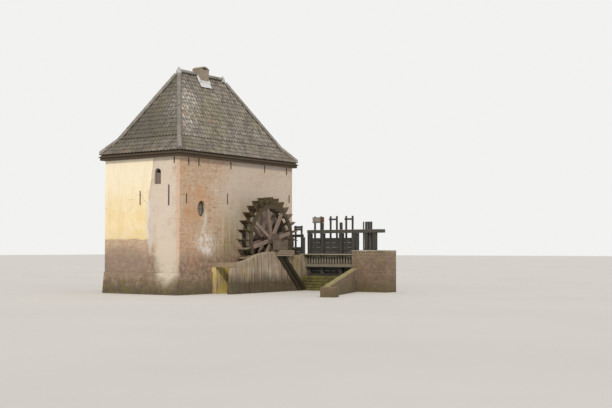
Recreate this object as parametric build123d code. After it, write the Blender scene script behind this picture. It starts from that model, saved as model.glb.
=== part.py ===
"""Brick watermill with a hipped tile roof, an undershot wheel in a walled race, and a timber weir beside it.

Millimetres, +Z up. +X runs upstream along the wheel-side wall, +Y runs into the house and the stream is on -Y.
The origin is at the foot of the wheel-side wall, in the middle of its thickness, straight below the axle.
"""
from build123d import *
from math import atan2, cos, degrees, radians, sin
import os

os.makedirs("parts", exist_ok=True)

# House
house_length = 8740
house_width = 4770
wall_t = 400
wall_h = 6640
axle_from_corner = 5770
plinth_h = 1000
plinth_out = 50
splay_out = 160

# Roof, measured at the outer face of the tiles
eave_out = 250
eave_z = 6650
kick_run = 700
kick_slope = 1.1
ridge_z = 10860
hip_run_downstream = 2550
hip_run_upstream = 2860
roof_thickness = 180
eave_board_t = 35
eave_board_in = 60
eave_board_foot = 6340
plate_in = 60
plate_w = 280
cap_r = 115
hip_short = 260
finial_r = 150
finial_tip_r = 30
finial_h = 190

# Chimney
chimney_x = -1595
chimney_l = 680
chimney_w = 500
chimney_over_ridge = 240
chimney_flue_wall = 110
flue_depth = 400
chimney_cap_t = 70
chimney_cap_h = 90
chimney_cap_out = 30
flashing_h = 60
flashing_t = 8
lead_gap = 0.3
lead_reach = 1000

# Openings in the walls
oculus_from_corner = 1530
oculus_z = 3970
oculus_w = 560
oculus_h = 760
oculus_ring = 110
land_oculus_up = 800
grille_bar = 22
frame_set_back = 130
frame_t = 50
lancet_from_corner = 1350
lancet_z0 = 5100
lancet_h = 730
lancet_w = 410
slit_from_corner = 660
slit_z0 = 4090
slit_h = 970
slit_w = 110
door_from_corner = 3300
door_w = 1050
door_h = 2000
door_t = 50
floor_z = 2100
floor_t = 80
plaster_t = 18
plaster_back_gap = 10
plaster_edge = [(1780, 2500), (1900, 3100), (1780, 3800), (1870, 4400), (1700, 5300), (1560, 6310)]

# Wall anchors
anchor_w = 45
anchor_t = 30
anchor_gap = 0.3
anchor_under_eave = 30
anchor_top_l = 360
anchor_top_near = [600, 1310, 3660]
anchor_top_far = [2390, 510]
anchor_mid_near = [(470, 4190, 460), (3410, 4250, 510)]
anchor_mid_far = [(280, 4500, 410)]
anchor_plaster_from_corner = 2430
anchor_plaster_z = 4150
anchor_plaster_l = 660
anchor_corner_from_corner = 310
anchor_corner_l = 290

# Wheel
wheel_r = 2140
axle_z = 2540
float_count = 28
float_first = 103.2
float_w = 640
float_t = 36
float_foot_gap = 12
float_set_out = 360
start_t = 70
start_w = 80
start_short = 70
rim_in = 1540
rim_out = 1760
rim_t = 90
rim_set_in = 100
felloe_gap = 0.4
arm_count = 8
arm_first = 13.0
arm_w = 190
arm_d = 120
axle_flats = 560
axle_hole_gap = 30
axle_front_y_from_face = 1200
axle_inner_past = 260
band_w = 60
band_t = 12
gudgeon_r = 55
gudgeon_l = 400
seat_gap = 0.3
running_gap = 0.3

# Race beside the house
lining_t = 250
pit_wall_near = 1070
pit_wall_t = 280
pit_foot_x = -3670
pit_end_x = -3500
pit_low_mid = (-2760, 1520)
pit_turn = (-1740, 1810)
pit_high_mid = (-1250, 1905)
pit_high_x = -770
pit_high_z = 1970
pit_step_x = -260
pit_flat_z = 1800
race_end_x = 2780
lintel_x = -3500
lintel_l = 320
lintel_z = 1240
lintel_h = 230
bed_z = 330
bed_foot_x = -1900
bed_top_x = -1100

# Bearing on the race wall
sleeper_x0 = -200
sleeper_l = 1250
sleeper_w = 470
block_x0 = -350
block_l = 830
block_w = 320
block_foot = 2050
block_clear = 40
bearing_set = 20
inner_block_l = 600

# Weir
post_w = 180
post_x = 2430
sill_z = 750
sill_front = 300
sill_back = 400
weir_posts = [1440, 2230, 3360, 4110]
post_crests = [0, 650, 360, 0]
crest_t = 60
bank_posts = [4300, 4860, 5320]
bank_boards_near = 4710
bank_boards_far = 5410
bank_board_count = 5
bank_board_gap = 12
bank_lath_near = 4585
bank_lath_w = 70
bank_board_t = 32
bank_boards_tall = 3
bank_tall_top = 3450
beam_z = 2890
beam_h = 180
beam_proud = 30
beam_end = 5880
low_beam_z = 1190
low_beam_h = 160
low_beam_d = 180
walk_d = 340
walk_t = 60
rack_w = 95
rack_gap = 65
rack_t = 30
leaf_t = 50
leaf_play = 10
leaf_lap = 50
leaf_top = 2660
stem_w = 90
stem_d = 80
stem_pair_w = 470
stem_top = 3760
head_board = (3420, 3720, 60)
head_bar = (3550, 3640, 10)
head_t = 45
keeper_lap = 30
keeper_t = 35
race_post_w = 120
race_beam_z = 2700
race_beam_h = 150
race_stem_top = 3300
race_leaf_top = 2200
race_head_board = (3050, 3280, 10)

# Abutment and wing wall
abutment_near = 4200
abutment_end = 6200
abutment_t = 900
abutment_x = 2180
abutment_z = 1970
coping_h = 70
coping_out = 40
wing_t = 300
wing_start = (2180, 4200)
wing_end = (-3106, 6065)
wing_z0 = 1150
wing_z1 = 460
block_end_l = 500
block_end_w = 710
block_end_h = 440

# Places worked out from the sizes above
x_down = -axle_from_corner
x_up = x_down + house_length
y_face = -wall_t / 2
y_back = y_face + house_width
y_mid = y_face + house_width / 2
rim_centres = (y_face - float_set_out - rim_set_in, y_face - float_set_out - float_w + rim_set_in)
axle_corner_r = axle_flats / 2 / cos(radians(180 / arm_count))
axle_front_y = y_face - axle_front_y_from_face
axle_inner_y = y_face + wall_t + axle_inner_past
pit_near_y = y_face - pit_wall_near
pit_far_y = pit_near_y - pit_wall_t
kick_z = eave_z + kick_slope * kick_run
chimney_top = ridge_z + chimney_over_ridge
long_slope = (ridge_z - kick_z) / (house_width / 2 + eave_out - kick_run)
anchor_top_z = eave_board_foot - anchor_under_eave

nodes = {}


def block(x0, x1, y0, y1, z0, z1):
    """A box between two corners."""
    return Pos(min(x0, x1), min(y0, y1), min(z0, z1)) * Box(
        abs(x1 - x0), abs(y1 - y0), abs(z1 - z0), align=(Align.MIN, Align.MIN, Align.MIN))


def prism(points, push):
    """A flat outline of 3-D points, pushed along a vector."""
    direction = Vector(*push)
    return extrude(Face(Wire.make_polygon([Vector(*p) for p in points], close=True)),
                   amount=direction.length, dir=direction.normalized())


def section_y(points, y0, y1):
    """An outline in X and Z, pushed from y0 to y1."""
    return prism([(x, y0, z) for x, z in points], (0, y1 - y0, 0))


def section_x(points, x0, x1):
    """An outline in Y and Z, pushed from x0 to x1."""
    return prism([(x0, y, z) for y, z in points], (x1 - x0, 0, 0))


def biggest(shape):
    """The largest solid of a cut."""
    return max(shape.solids(), key=lambda s: s.volume)


def add(name, *shapes):
    """Keeps one named piece, or several like pieces that don't touch."""
    solids = [s for shape in shapes for s in shape.solids()]
    nodes[name] = solids[0] if len(solids) == 1 else Compound(solids)


def round_hole_y(x, z, r, y0, y1):
    """A cylinder along Y."""
    return Pos(x, (y0 + y1) / 2, z) * Rot(90, 0, 0) * Cylinder(r, abs(y1 - y0))


def oval_y(x, z, w, h, y0, y1):
    """An oval bar along Y."""
    face = Plane(origin=(x, y0, z), x_dir=(1, 0, 0), z_dir=(0, 1, 0)) * Ellipse(w / 2, h / 2)
    return extrude(face, amount=y1 - y0)


def surround_bar(x, z, y0, y1):
    """The oval bar that an oval window takes out of its wall, with its ring of bricks."""
    return oval_y(x, z, oculus_w + 2 * oculus_ring, oculus_h + 2 * oculus_ring, y0, y1)


def arched(w, h, depth):
    """An opening with a half-round head, standing on z = 0, pushed along +X from x = 0."""
    body = block(0, depth, -w / 2, w / 2, 0, h - w / 2)
    head = Pos(depth / 2, 0, h - w / 2) * Rot(0, 90, 0) * Cylinder(w / 2, depth)
    return body + head


def spun(shape, angle):
    """A piece drawn along +X from the axle's centre, turned by an angle from +X towards +Z."""
    return Pos(0, 0, axle_z) * Rot(0, -angle, 0) * shape


def wheel_side_wall():
    wall = block(x_down, x_up, y_face, y_face + wall_t, 0, wall_h)
    wall += block(x_down - plinth_out, x_up, y_face - plinth_out, y_face, 0, plinth_h)
    wall -= surround_bar(x_down + oculus_from_corner, oculus_z, y_face - 1, y_face + wall_t + 1)
    wall -= round_hole_y(0, axle_z, axle_corner_r + axle_hole_gap, y_face - 1, y_face + wall_t + 1)
    return wall


def land_side_wall():
    wall = block(x_down, x_up, y_back - wall_t, y_back, 0, wall_h)
    wall -= block(x_down + door_from_corner, x_down + door_from_corner + door_w,
                  y_back - wall_t - 1, y_back + 1, floor_z, floor_z + door_h)
    wall -= surround_bar(x_down + oculus_from_corner, oculus_z + land_oculus_up,
                         y_back - wall_t - 1, y_back + 1)
    return wall


def downstream_wall():
    wall = block(x_down, x_down + wall_t, y_face + wall_t, y_back - wall_t, 0, wall_h)
    wall -= Pos(x_down - 1, y_face + lancet_from_corner, lancet_z0) * arched(lancet_w, lancet_h, wall_t + 2)
    wall -= Pos(x_down - 1, y_face + slit_from_corner, slit_z0) * arched(slit_w, slit_h, wall_t + 2)
    return wall


def upstream_wall():
    wall = block(x_up - wall_t, x_up, y_face + wall_t, y_back - wall_t, 0, wall_h)
    wall -= Pos(x_up - wall_t - 1, y_mid, lancet_z0) * arched(lancet_w, lancet_h, wall_t + 2)
    return wall


def splayed_foot():
    """The mossy foot that stands out under the downstream wall."""
    points = [(x_down, 0), (x_down - splay_out, 0), (x_down - plinth_out, plinth_h), (x_down, plinth_h)]
    return section_y(points, y_face, y_back)


def ring_points(out, z):
    """The corners of a rectangle around the house, from the near corner round."""
    return [(x_down - out, y_face - out, z), (x_up + out, y_face - out, z),
            (x_up + out, y_back + out, z), (x_down - out, y_back + out, z)]


def roof_slopes(depth):
    """Four slopes, each with a flatter strip at the eaves, meeting on upright planes under the hips."""
    upper = {"wheel_side": [ridge_1, ridge_0], "upstream": [ridge_1],
             "land_side": [ridge_0, ridge_1], "downstream": [ridge_0]}
    down = (0, 0, -depth)
    shaped = {}
    for i, side in enumerate(upper):
        j = (i + 1) % len(upper)
        low = prism([eave_ring[i], eave_ring[j], kick_ring[j], kick_ring[i]], down)
        high = prism([kick_ring[i], kick_ring[j]] + upper[side], down)
        shaped["roof_" + side] = low + high
    return shaped


def hip_bar(a, b, r):
    """A round bar from one point to another."""
    start, end = Vector(*a), Vector(*b)
    axis = end - start
    return extrude(Plane(origin=start, z_dir=axis) * Circle(r), amount=axis.length)


def ring_round(inner, outer, z0, z1):
    """A rectangular ring around the house, between two distances outside its faces."""
    def slab(out):
        return block(x_down - out, x_up + out, y_face - out, y_back + out, z0, z1)
    return slab(outer) - slab(inner)


def under_roof_z(out):
    """Height of the underside of the tiles at a distance outside the wall face."""
    return eave_z - roof_thickness + kick_slope * (eave_out - out)


def eaves():
    """Boxed eaves: an upright board under the tiles and a flat board back to the wall."""
    edge = eave_out - eave_board_in
    boards = ring_round(edge - eave_board_t, edge, eave_board_foot, under_roof_z(edge) - seat_gap)
    soffit = ring_round(seat_gap, edge - eave_board_t, eave_board_foot, eave_board_foot + eave_board_t)
    return boards + soffit


def wall_plates():
    """Timbers on the wall tops that carry the feet of the slopes."""
    plates = ring_round(-plate_in - plate_w, -plate_in, wall_h, kick_z)
    for slope in slopes.values():
        plates = plates - slope
    return min(plates.solids(), key=lambda s: s.bounding_box().min.Z)


def cut_by_roof(shape):
    """The part of a shape that stands over the tiles."""
    for slope in roof_mass.values():
        shape = shape - slope
    return biggest(shape)


def caps():
    """Half-round caps over the hips and the ridge, cut to sit on the tiles."""
    tops = [ridge_0, ridge_1, ridge_1, ridge_0]
    bars = []
    for eave, kick, top in zip(eave_ring, kick_ring, tops):
        eave, kick, top = Vector(*eave), Vector(*kick), Vector(*top)
        stop = top - (top - kick).normalized() * hip_short
        start = eave + (kick - eave).normalized() * cap_r
        bar = hip_bar(start, kick, cap_r) + hip_bar(kick, stop, cap_r) + Pos(kick) * Sphere(cap_r)
        bars.append(cut_by_roof(bar))
    return bars, cut_by_roof(hip_bar(ridge_0, ridge_1, cap_r))


def long_slopes(lift):
    """Everything under the two long slopes, raised by a lift, along the chimney."""
    drop = long_slope * lead_reach
    x0, x1 = chimney_x - chimney_l, chimney_x + chimney_l
    outline = [(y_mid - lead_reach, 0), (y_mid - lead_reach, ridge_z + lift - drop), (y_mid, ridge_z + lift),
               (y_mid + lead_reach, ridge_z + lift - drop), (y_mid + lead_reach, 0)]
    return section_x(outline, x0, x1)


def vault(half, h, depth):
    """An arched slab along Y with a level foot."""
    arch = ThreePointArc((half, 0), (0, h), (-half, 0))
    outline = Wire(Polyline((-half, 0), (half, 0)).edges() + arch.edges())
    foot = chimney_top + seat_gap
    place = Plane(origin=(chimney_x, y_mid + depth / 2, foot), x_dir=(1, 0, 0), z_dir=(0, -1, 0))
    return extrude(place * Face(outline), amount=depth, dir=(0, -1, 0))


def chimney():
    """The stack astride the ridge, its vaulted cap and the lead at its foot."""
    x0, x1 = chimney_x - chimney_l / 2, chimney_x + chimney_l / 2
    y0, y1 = y_mid - chimney_w / 2, y_mid + chimney_w / 2
    wall = chimney_flue_wall
    stack = block(x0, x1, y0, y1, kick_z, chimney_top)
    stack -= block(x0 + wall, x1 - wall, y0 + wall, y1 - wall, chimney_top - flue_depth, chimney_top + 1)
    stack = biggest(stack - long_slopes(0) - nodes["ridge_cap"])
    depth = chimney_w + 2 * chimney_cap_out
    cap = vault(chimney_l / 2 + chimney_cap_out, chimney_cap_h + chimney_cap_t, depth)
    cap -= vault(chimney_l / 2 - wall, chimney_cap_h, depth)
    lead = block(x0 - flashing_t, x1 + flashing_t, y0 - flashing_t, y1 + flashing_t, kick_z, chimney_top)
    lead -= block(x0 - lead_gap, x1 + lead_gap, y0 - lead_gap, y1 + lead_gap, kick_z - 1, chimney_top + 1)
    lead = (lead & long_slopes(flashing_h)) - long_slopes(0) - nodes["ridge_cap"]
    return stack, cap, lead.solids()


def finials():
    """Lead cones over the two ends of the ridge."""
    cones = []
    for x, y, z in (ridge_0, ridge_1):
        cone = Pos(x, y, z - finial_r) * Cone(
            finial_r, finial_tip_r, finial_r + finial_h, align=(Align.CENTER, Align.CENTER, Align.MIN))
        for piece in [nodes["ridge_cap"], *nodes["hip_caps"].solids()]:
            cone = cone - piece
        cones.append(cut_by_roof(cone))
    return cones


def anchors():
    """Flat iron bars on the faces of the two walls that show."""
    half = anchor_w / 2
    top = (anchor_top_z - anchor_top_l, anchor_top_l)
    spots = [(x_down + x, *top) for x in anchor_top_near] + [(x_up - x, *top) for x in anchor_top_far]
    spots += [(x_down + x, z, length) for x, z, length in anchor_mid_near]
    spots += [(x_up - x, z, length) for x, z, length in anchor_mid_far]
    side = [block(x - half, x + half, y_face - anchor_t, y_face - anchor_gap, z, z + length)
            for x, z, length in spots]
    in_plaster = (anchor_plaster_from_corner, anchor_plaster_z, anchor_plaster_l, plaster_t)
    in_brick = (anchor_corner_from_corner, anchor_top_z - anchor_corner_l, anchor_corner_l, 0)
    end = []
    for y, z, length, coat in (in_plaster, in_brick):
        end.append(block(x_down - coat - anchor_t, x_down - coat - anchor_gap,
                         y_face + y - half, y_face + y + half, z, z + length))
    return side + end


def plaster_coat():
    """The coat of plaster on the downstream wall, with its wavering edge."""
    edge = [(y_face + y, z) for y, z in plaster_edge]
    far = y_back - plaster_back_gap
    points = [(far, edge[0][1])] + edge + [(far, edge[-1][1])]
    return section_x(points, x_down - plaster_t, x_down)


def oculus_surround(x, z, y):
    """The ring of bricks on edge round an oval window, as deep as the wall."""
    return surround_bar(x, z, y, y + wall_t) - oval_y(x, z, oculus_w, oculus_h, y - 1, y + wall_t + 1)


def oculus_grille(x, z, y):
    """An oval frame with crossed bars, set back in its opening."""
    frame = oval_y(x, z, oculus_w, oculus_h, y, y + frame_t)
    frame -= oval_y(x, z, oculus_w - 2 * frame_t, oculus_h - 2 * frame_t, y - 1, y + frame_t + 1)
    mid = y + frame_t / 2
    bars = block(x - grille_bar / 2, x + grille_bar / 2, mid - grille_bar / 2, mid + grille_bar / 2,
                 z - oculus_h / 2 + frame_t / 2, z + oculus_h / 2 - frame_t / 2)
    bars += block(x - oculus_w / 2 + frame_t / 2, x + oculus_w / 2 - frame_t / 2,
                  mid - grille_bar / 2, mid + grille_bar / 2, z - grille_bar / 2, z + grille_bar / 2)
    return frame + bars


def lancet_frame(x, y):
    """An arched frame with one upright bar, set back in its opening."""
    outer = Pos(x, y, lancet_z0) * arched(lancet_w, lancet_h, frame_t)
    hole = arched(lancet_w - 2 * frame_t, lancet_h - 2 * frame_t, frame_t + 2)
    inner = Pos(x - 1, y, lancet_z0 + frame_t) * hole
    mid = x + frame_t / 2
    bar = block(mid - grille_bar / 2, mid + grille_bar / 2, y - grille_bar / 2, y + grille_bar / 2,
                lancet_z0 + frame_t / 2, lancet_z0 + lancet_h - frame_t / 2)
    return outer - inner + bar


def door():
    """A plank door, shut, in its rebated frame."""
    x0 = x_down + door_from_corner
    y0 = y_back - wall_t / 2
    frame = block(x0, x0 + door_w, y0, y0 + frame_t * 2, floor_z, floor_z + door_h)
    left, right, head = x0 + frame_t, x0 + door_w - frame_t, floor_z + door_h - frame_t
    frame -= block(left, right, y0 - 1, y0 + frame_t * 2 + 1, floor_z, head)
    leaf = block(left + seat_gap, right - seat_gap, y0, y0 + door_t, floor_z + seat_gap, head - seat_gap)
    return frame, leaf


def axle():
    """The oak axle, with as many flats as the wheel has arms, and the iron on it."""
    flat = Plane(origin=(0, axle_inner_y, axle_z), x_dir=(1, 0, 0), z_dir=(0, -1, 0))
    log = extrude(flat * Rot(0, 0, arm_first) * RegularPolygon(axle_flats / 2, arm_count, major_radius=False,
                                                               rotation=180 / arm_count),
                  amount=axle_inner_y - axle_front_y)
    pins = [round_hole_y(0, axle_z, gudgeon_r, axle_front_y - gudgeon_l, axle_front_y),
            round_hole_y(0, axle_z, gudgeon_r, axle_inner_y, axle_inner_y + gudgeon_l)]
    hoops = []
    inside_rims = (rim_centres[1] + arm_d, rim_centres[0] - arm_d)
    for y in (axle_front_y + band_w, *inside_rims, axle_inner_y - 2 * band_w):
        ring = round_hole_y(0, axle_z, axle_corner_r + band_t, y - band_w / 2, y + band_w / 2)
        hoops.append(ring - round_hole_y(0, axle_z, axle_corner_r + seat_gap, y - band_w, y + band_w))
    return log, pins, hoops


def wheel_arms(y):
    """Arms from the flats of the axle to the inside of a rim."""
    hoop = Rot(90, 0, 0) * Cylinder(rim_in - seat_gap, arm_d * 2)
    arm = block(axle_flats / 2, rim_in + arm_w, y - arm_d / 2, y + arm_d / 2, -arm_w / 2, arm_w / 2)
    arm = arm & (Pos(0, y, 0) * hoop)
    return [spun(arm, arm_first + i * 360 / arm_count) for i in range(arm_count)]


def felloes(y):
    """The curved lengths that make up a rim, jointed halfway between the arms."""
    half = 180 / arm_count
    trim = degrees(felloe_gap / rim_in)
    ring = Rot(90, 0, 0) * (Cylinder(rim_out, rim_t) - Cylinder(rim_in, rim_t * 2))
    far = 2 * rim_out
    a = radians(half - trim)
    wedge = section_y([(0, 0), (far * cos(a), -far * sin(a)), (far * cos(a), far * sin(a))], -rim_t, rim_t)
    felloe = Pos(0, y, 0) * (ring & wedge)
    return [spun(felloe, arm_first + i * 360 / arm_count) for i in range(arm_count)]


def floats():
    """The boards round the wheel and the two short posts behind each."""
    y_rear = y_face - float_set_out
    board = block(rim_out + float_foot_gap, wheel_r, y_rear - float_w, y_rear, -float_t, 0)
    tip = wheel_r - start_short
    posts = [block(rim_out, tip, y - start_w / 2, y + start_w / 2, 0, start_t) for y in rim_centres]
    turns = [float_first + i * 360 / float_count for i in range(float_count)]
    return [spun(board, a) for a in turns], [spun(post, a) for a in turns for post in posts]


def pit_wall():
    """The outer wall of the race, with its leaning end, its seat for the lintel and its swept top."""
    seat_end = lintel_x + lintel_l
    outline = [Line((pit_foot_x, 0), (pit_end_x, lintel_z)),
               Line((pit_end_x, lintel_z), (seat_end, lintel_z)),
               Line((seat_end, lintel_z), (seat_end, lintel_z + lintel_h)),
               ThreePointArc((seat_end, lintel_z + lintel_h), pit_low_mid, pit_turn),
               ThreePointArc(pit_turn, pit_high_mid, (pit_high_x, pit_high_z)),
               Line((pit_high_x, pit_high_z), (pit_step_x, pit_high_z)),
               Line((pit_step_x, pit_high_z), (pit_step_x, pit_flat_z)),
               Line((pit_step_x, pit_flat_z), (race_end_x, pit_flat_z)),
               Line((race_end_x, pit_flat_z), (race_end_x, 0)),
               Line((race_end_x, 0), (pit_foot_x, 0))]
    place = Plane(origin=(0, pit_near_y, 0), x_dir=(1, 0, 0), z_dir=(0, -1, 0))
    return extrude(place * Face(Wire(outline)), amount=pit_wall_t, dir=(0, -1, 0))


def race():
    """The lining of the house wall, the lintel across the outfall and the bed under the wheel."""
    lining = block(pit_end_x, race_end_x, y_face - lining_t, y_face - plinth_out, 0, lintel_z)
    lining += block(pit_end_x, race_end_x, y_face - plinth_out, y_face, plinth_h, lintel_z)
    lintel = block(lintel_x, lintel_x + lintel_l, y_face, pit_far_y, lintel_z, lintel_z + lintel_h)
    bed = section_y([(bed_foot_x, 0), (bed_top_x, bed_z), (race_end_x, bed_z), (race_end_x, 0)],
                    pit_near_y, y_face - lining_t)
    return lining, lintel, bed


def wheel_bearings():
    """The timber under the outer pin, its block, and the block that carries the inner pin on the floor."""
    y0 = pit_near_y - bearing_set
    sleeper = block(sleeper_x0, sleeper_x0 + sleeper_l, y0, y0 - sleeper_w, pit_flat_z, block_foot)
    y1 = axle_front_y - block_clear
    outer = block(block_x0, block_x0 + block_l, y1, y1 - block_w, block_foot, axle_z)
    outer -= round_hole_y(0, axle_z, gudgeon_r + running_gap, y1 + 1, y1 - block_w - 1)
    y2 = axle_inner_y + block_clear
    inner = block(-inner_block_l / 2, inner_block_l / 2, y2, y2 + block_w, floor_z, axle_z)
    inner -= round_hole_y(0, axle_z, gudgeon_r + running_gap, y2 - 1, y2 + block_w + 1)
    return sleeper, outer, inner


def weir():
    """The timber frame across the stream, from the race wall to the bank."""
    y = [y_face - p for p in weir_posts]
    y_start = pit_far_y
    y_stop = y_face - abutment_near
    sill = block(post_x - sill_front, post_x + post_w + sill_back, y_start, y_stop, 0, sill_z)
    posts = [block(post_x, post_x + post_w, p - post_w / 2, p + post_w / 2, sill_z, beam_z) for p in y]
    crest_x = post_x + (post_w - crest_t) / 2
    beam_top = beam_z + beam_h
    crests = [block(crest_x, crest_x + crest_t, p - post_w / 2, p + post_w / 2, beam_top, beam_top + h)
              for p, h in zip(y, post_crests) if h]
    bank = [block(post_x, post_x + post_w, y_face - p - post_w / 2, y_face - p + post_w / 2,
                  abutment_z + coping_h, beam_z) for p in bank_posts]
    beam = block(post_x - beam_proud, post_x + post_w, y[0] + post_w / 2, y_face - beam_end,
                 beam_z, beam_z + beam_h)
    low = block(post_x - low_beam_d, post_x, y_start, y_stop, low_beam_z, low_beam_z + low_beam_h)
    walk = block(post_x - seat_gap - walk_d, post_x - seat_gap, pit_near_y, y_stop,
                 pit_flat_z, pit_flat_z + walk_t)
    room = abs(y_stop - y_start)
    count = int((room + rack_gap) // (rack_w + rack_gap))
    pitch = (room + rack_gap) / count
    rack_x = post_x - low_beam_d / 2
    rack = []
    for i in range(count):
        y0 = y_start - i * pitch
        rack.append(block(rack_x - rack_t, rack_x, y0, y0 - pitch + rack_gap,
                          low_beam_z + low_beam_h, pit_flat_z))
    return sill, posts + crests, bank, beam, low, walk, rack


def bank_boards():
    """Upright boards nailed to the beam over the bank, the first of them tall, and a lath beside them."""
    y0 = y_face - bank_boards_near
    pitch = (bank_boards_far - bank_boards_near + bank_board_gap) / bank_board_count
    x0 = post_x + post_w
    y1 = y_face - bank_lath_near
    boards = [block(x0, x0 + bank_board_t, y1, y1 - bank_lath_w, abutment_z + coping_h, bank_tall_top)]
    for i in range(bank_board_count):
        top = bank_tall_top if i < bank_boards_tall else beam_z + beam_h
        boards.append(block(x0, x0 + bank_board_t, y0 - i * pitch, y0 - (i + 1) * pitch + bank_board_gap,
                            abutment_z + coping_h, top))
    return boards


def leaf_bounds():
    """The two sides of each leaf: it laps the posts beside it, up to the abutment."""
    bays = []
    for a, b in zip(weir_posts, weir_posts[1:]):
        bays.append((y_face - a - post_w / 2 + leaf_lap, y_face - b + post_w / 2 - leaf_lap))
    return bays


def gate(y0, y1, x0, foot, top, stem_z, head):
    """A plank leaf with two stems and a head across them, given by its foot, top and passing ends."""
    leaf = block(x0, x0 + leaf_t, y0, y1, foot, top)
    inset = (abs(y1 - y0) - stem_pair_w) / 2
    stem_x0 = x0 + leaf_t
    stems = [block(stem_x0, stem_x0 + stem_d, y0 - inset, y0 - inset - stem_w, foot, stem_z),
             block(stem_x0, stem_x0 + stem_d, y1 + inset, y1 + inset + stem_w, foot, stem_z)]
    head_z0, head_z1, passing = head
    board = block(stem_x0 - head_t, stem_x0, y0 - inset + passing, y1 + inset - passing, head_z0, head_z1)
    return leaf + stems[0] + stems[1] + board


def keepers():
    """Battens on the posts that hold the leaves against them."""
    x0 = post_x + post_w
    x1 = x0 + leaf_t + 2 * leaf_play
    web = post_w / 2 - leaf_lap - leaf_play
    lip = web + keeper_lap
    rails = []
    for p in weir_posts:
        y = y_face - p
        rail = block(x0, x1, y - web, y + web, sill_z, beam_z)
        rails.append(rail + block(x1, x1 + keeper_t, y - lip, y + lip, sill_z, beam_z))
    return rails


def race_gate_frame():
    """Two posts and a cross beam upstream of the wheel, with battens for the leaf."""
    near = y_face - lining_t
    far = pit_near_y
    x0 = post_x + race_post_w
    x1 = x0 + leaf_t + 2 * leaf_play
    web = race_post_w - leaf_lap - leaf_play
    lip = web + keeper_lap
    beam = block(post_x, x0, near, far, race_beam_z, race_beam_z + race_beam_h)
    posts = []
    rails = []
    for y, way in ((near, -1), (far, 1)):
        posts.append(block(post_x, x0, y, y + way * race_post_w, bed_z, race_beam_z))
        rail = block(x0, x1, y, y + way * web, bed_z, race_beam_z)
        rails.append(rail + block(x1, x1 + keeper_t, y, y + way * lip, bed_z, race_beam_z))
    return posts, beam, rails


def abutment():
    """The brick pier at the bank, its coping, the wing wall and the small block at its foot."""
    y0, y1 = y_face - abutment_near, y_face - abutment_end
    pier = block(abutment_x, abutment_x + abutment_t, y0, y1, 0, abutment_z)
    coping = block(abutment_x - coping_out, abutment_x + abutment_t + coping_out, y0, y1,
                   abutment_z, abutment_z + coping_h)
    a = Vector(wing_start[0], y_face - wing_start[1])
    b = Vector(wing_end[0], y_face - wing_end[1])
    along = (b - a).normalized()
    across = Vector(-along.Y, along.X) * wing_t
    face = [(a.X, a.Y, 0), (a.X, a.Y, wing_z0), (b.X, b.Y, wing_z1), (b.X, b.Y, 0)]
    wing = prism(face, (across.X, across.Y, 0)) - pier
    wing = biggest(wing)
    end = Pos(b.X, b.Y, 0) * Rot(0, 0, degrees(atan2(along.Y, along.X))) * block(
        0, block_end_l, 0, block_end_w, 0, block_end_h)
    return pier, coping, wing, end


eave_ring = ring_points(eave_out, eave_z)
kick_ring = ring_points(eave_out - kick_run, kick_z)
ridge_0 = (x_down + hip_run_downstream, y_mid, ridge_z)
ridge_1 = (x_up - hip_run_upstream, y_mid, ridge_z)
slopes = roof_slopes(roof_thickness)
roof_mass = roof_slopes(ridge_z - eave_z)

# Walls, from the near corner round
add("wheel_side_wall", wheel_side_wall())
add("downstream_wall", downstream_wall())
add("land_side_wall", land_side_wall())
add("upstream_wall", upstream_wall())
add("splayed_foot", splayed_foot())
add("plaster_coat", plaster_coat())
add("wall_anchors", *anchors())

# Openings
add("oculus_surrounds", oculus_surround(x_down + oculus_from_corner, oculus_z, y_face),
    oculus_surround(x_down + oculus_from_corner, oculus_z + land_oculus_up, y_back - wall_t))
add("oculus_frames", oculus_grille(x_down + oculus_from_corner, oculus_z, y_face + frame_set_back),
    oculus_grille(x_down + oculus_from_corner, oculus_z + land_oculus_up, y_back - frame_set_back - frame_t))
add("arched_window_frames", lancet_frame(x_down + frame_set_back, y_face + lancet_from_corner),
    lancet_frame(x_up - frame_set_back - frame_t, y_mid))
door_frame, door_leaf = door()
add("door_frame", door_frame)
add("door_leaf", door_leaf)
add("mill_floor", block(x_down + wall_t, x_up - wall_t, y_face + wall_t, y_back - wall_t,
                        floor_z - floor_t, floor_z))

# Roof
for slope_name, slope in slopes.items():
    add(slope_name, slope)
add("eaves", eaves())
add("wall_plates", wall_plates())
hips, ridge_cap = caps()
add("hip_caps", *hips)
add("ridge_cap", ridge_cap)
add("finials", *finials())
stack, stack_cap, lead = chimney()
add("chimney_stack", stack)
add("chimney_cap", stack_cap)
add("chimney_lead", *lead)

# Wheel and axle
log, pins, hoops = axle()
add("axle", log)
add("gudgeons", *pins)
add("axle_hoops", *hoops)
add("wheel_arms", *[arm for y in rim_centres for arm in wheel_arms(y)])
add("wheel_rims", *[felloe for y in rim_centres for felloe in felloes(y)])
boards, starts = floats()
add("floats", *boards)
add("float_posts", *starts)

# Race and bearings
add("race_outer_wall", pit_wall())
lining, lintel, bed = race()
add("race_lining", lining)
add("race_lintel", lintel)
add("race_bed", bed)
sleeper, outer_block, inner_block = wheel_bearings()
add("bearing_sleeper", sleeper)
add("bearing_blocks", outer_block, inner_block)

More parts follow.
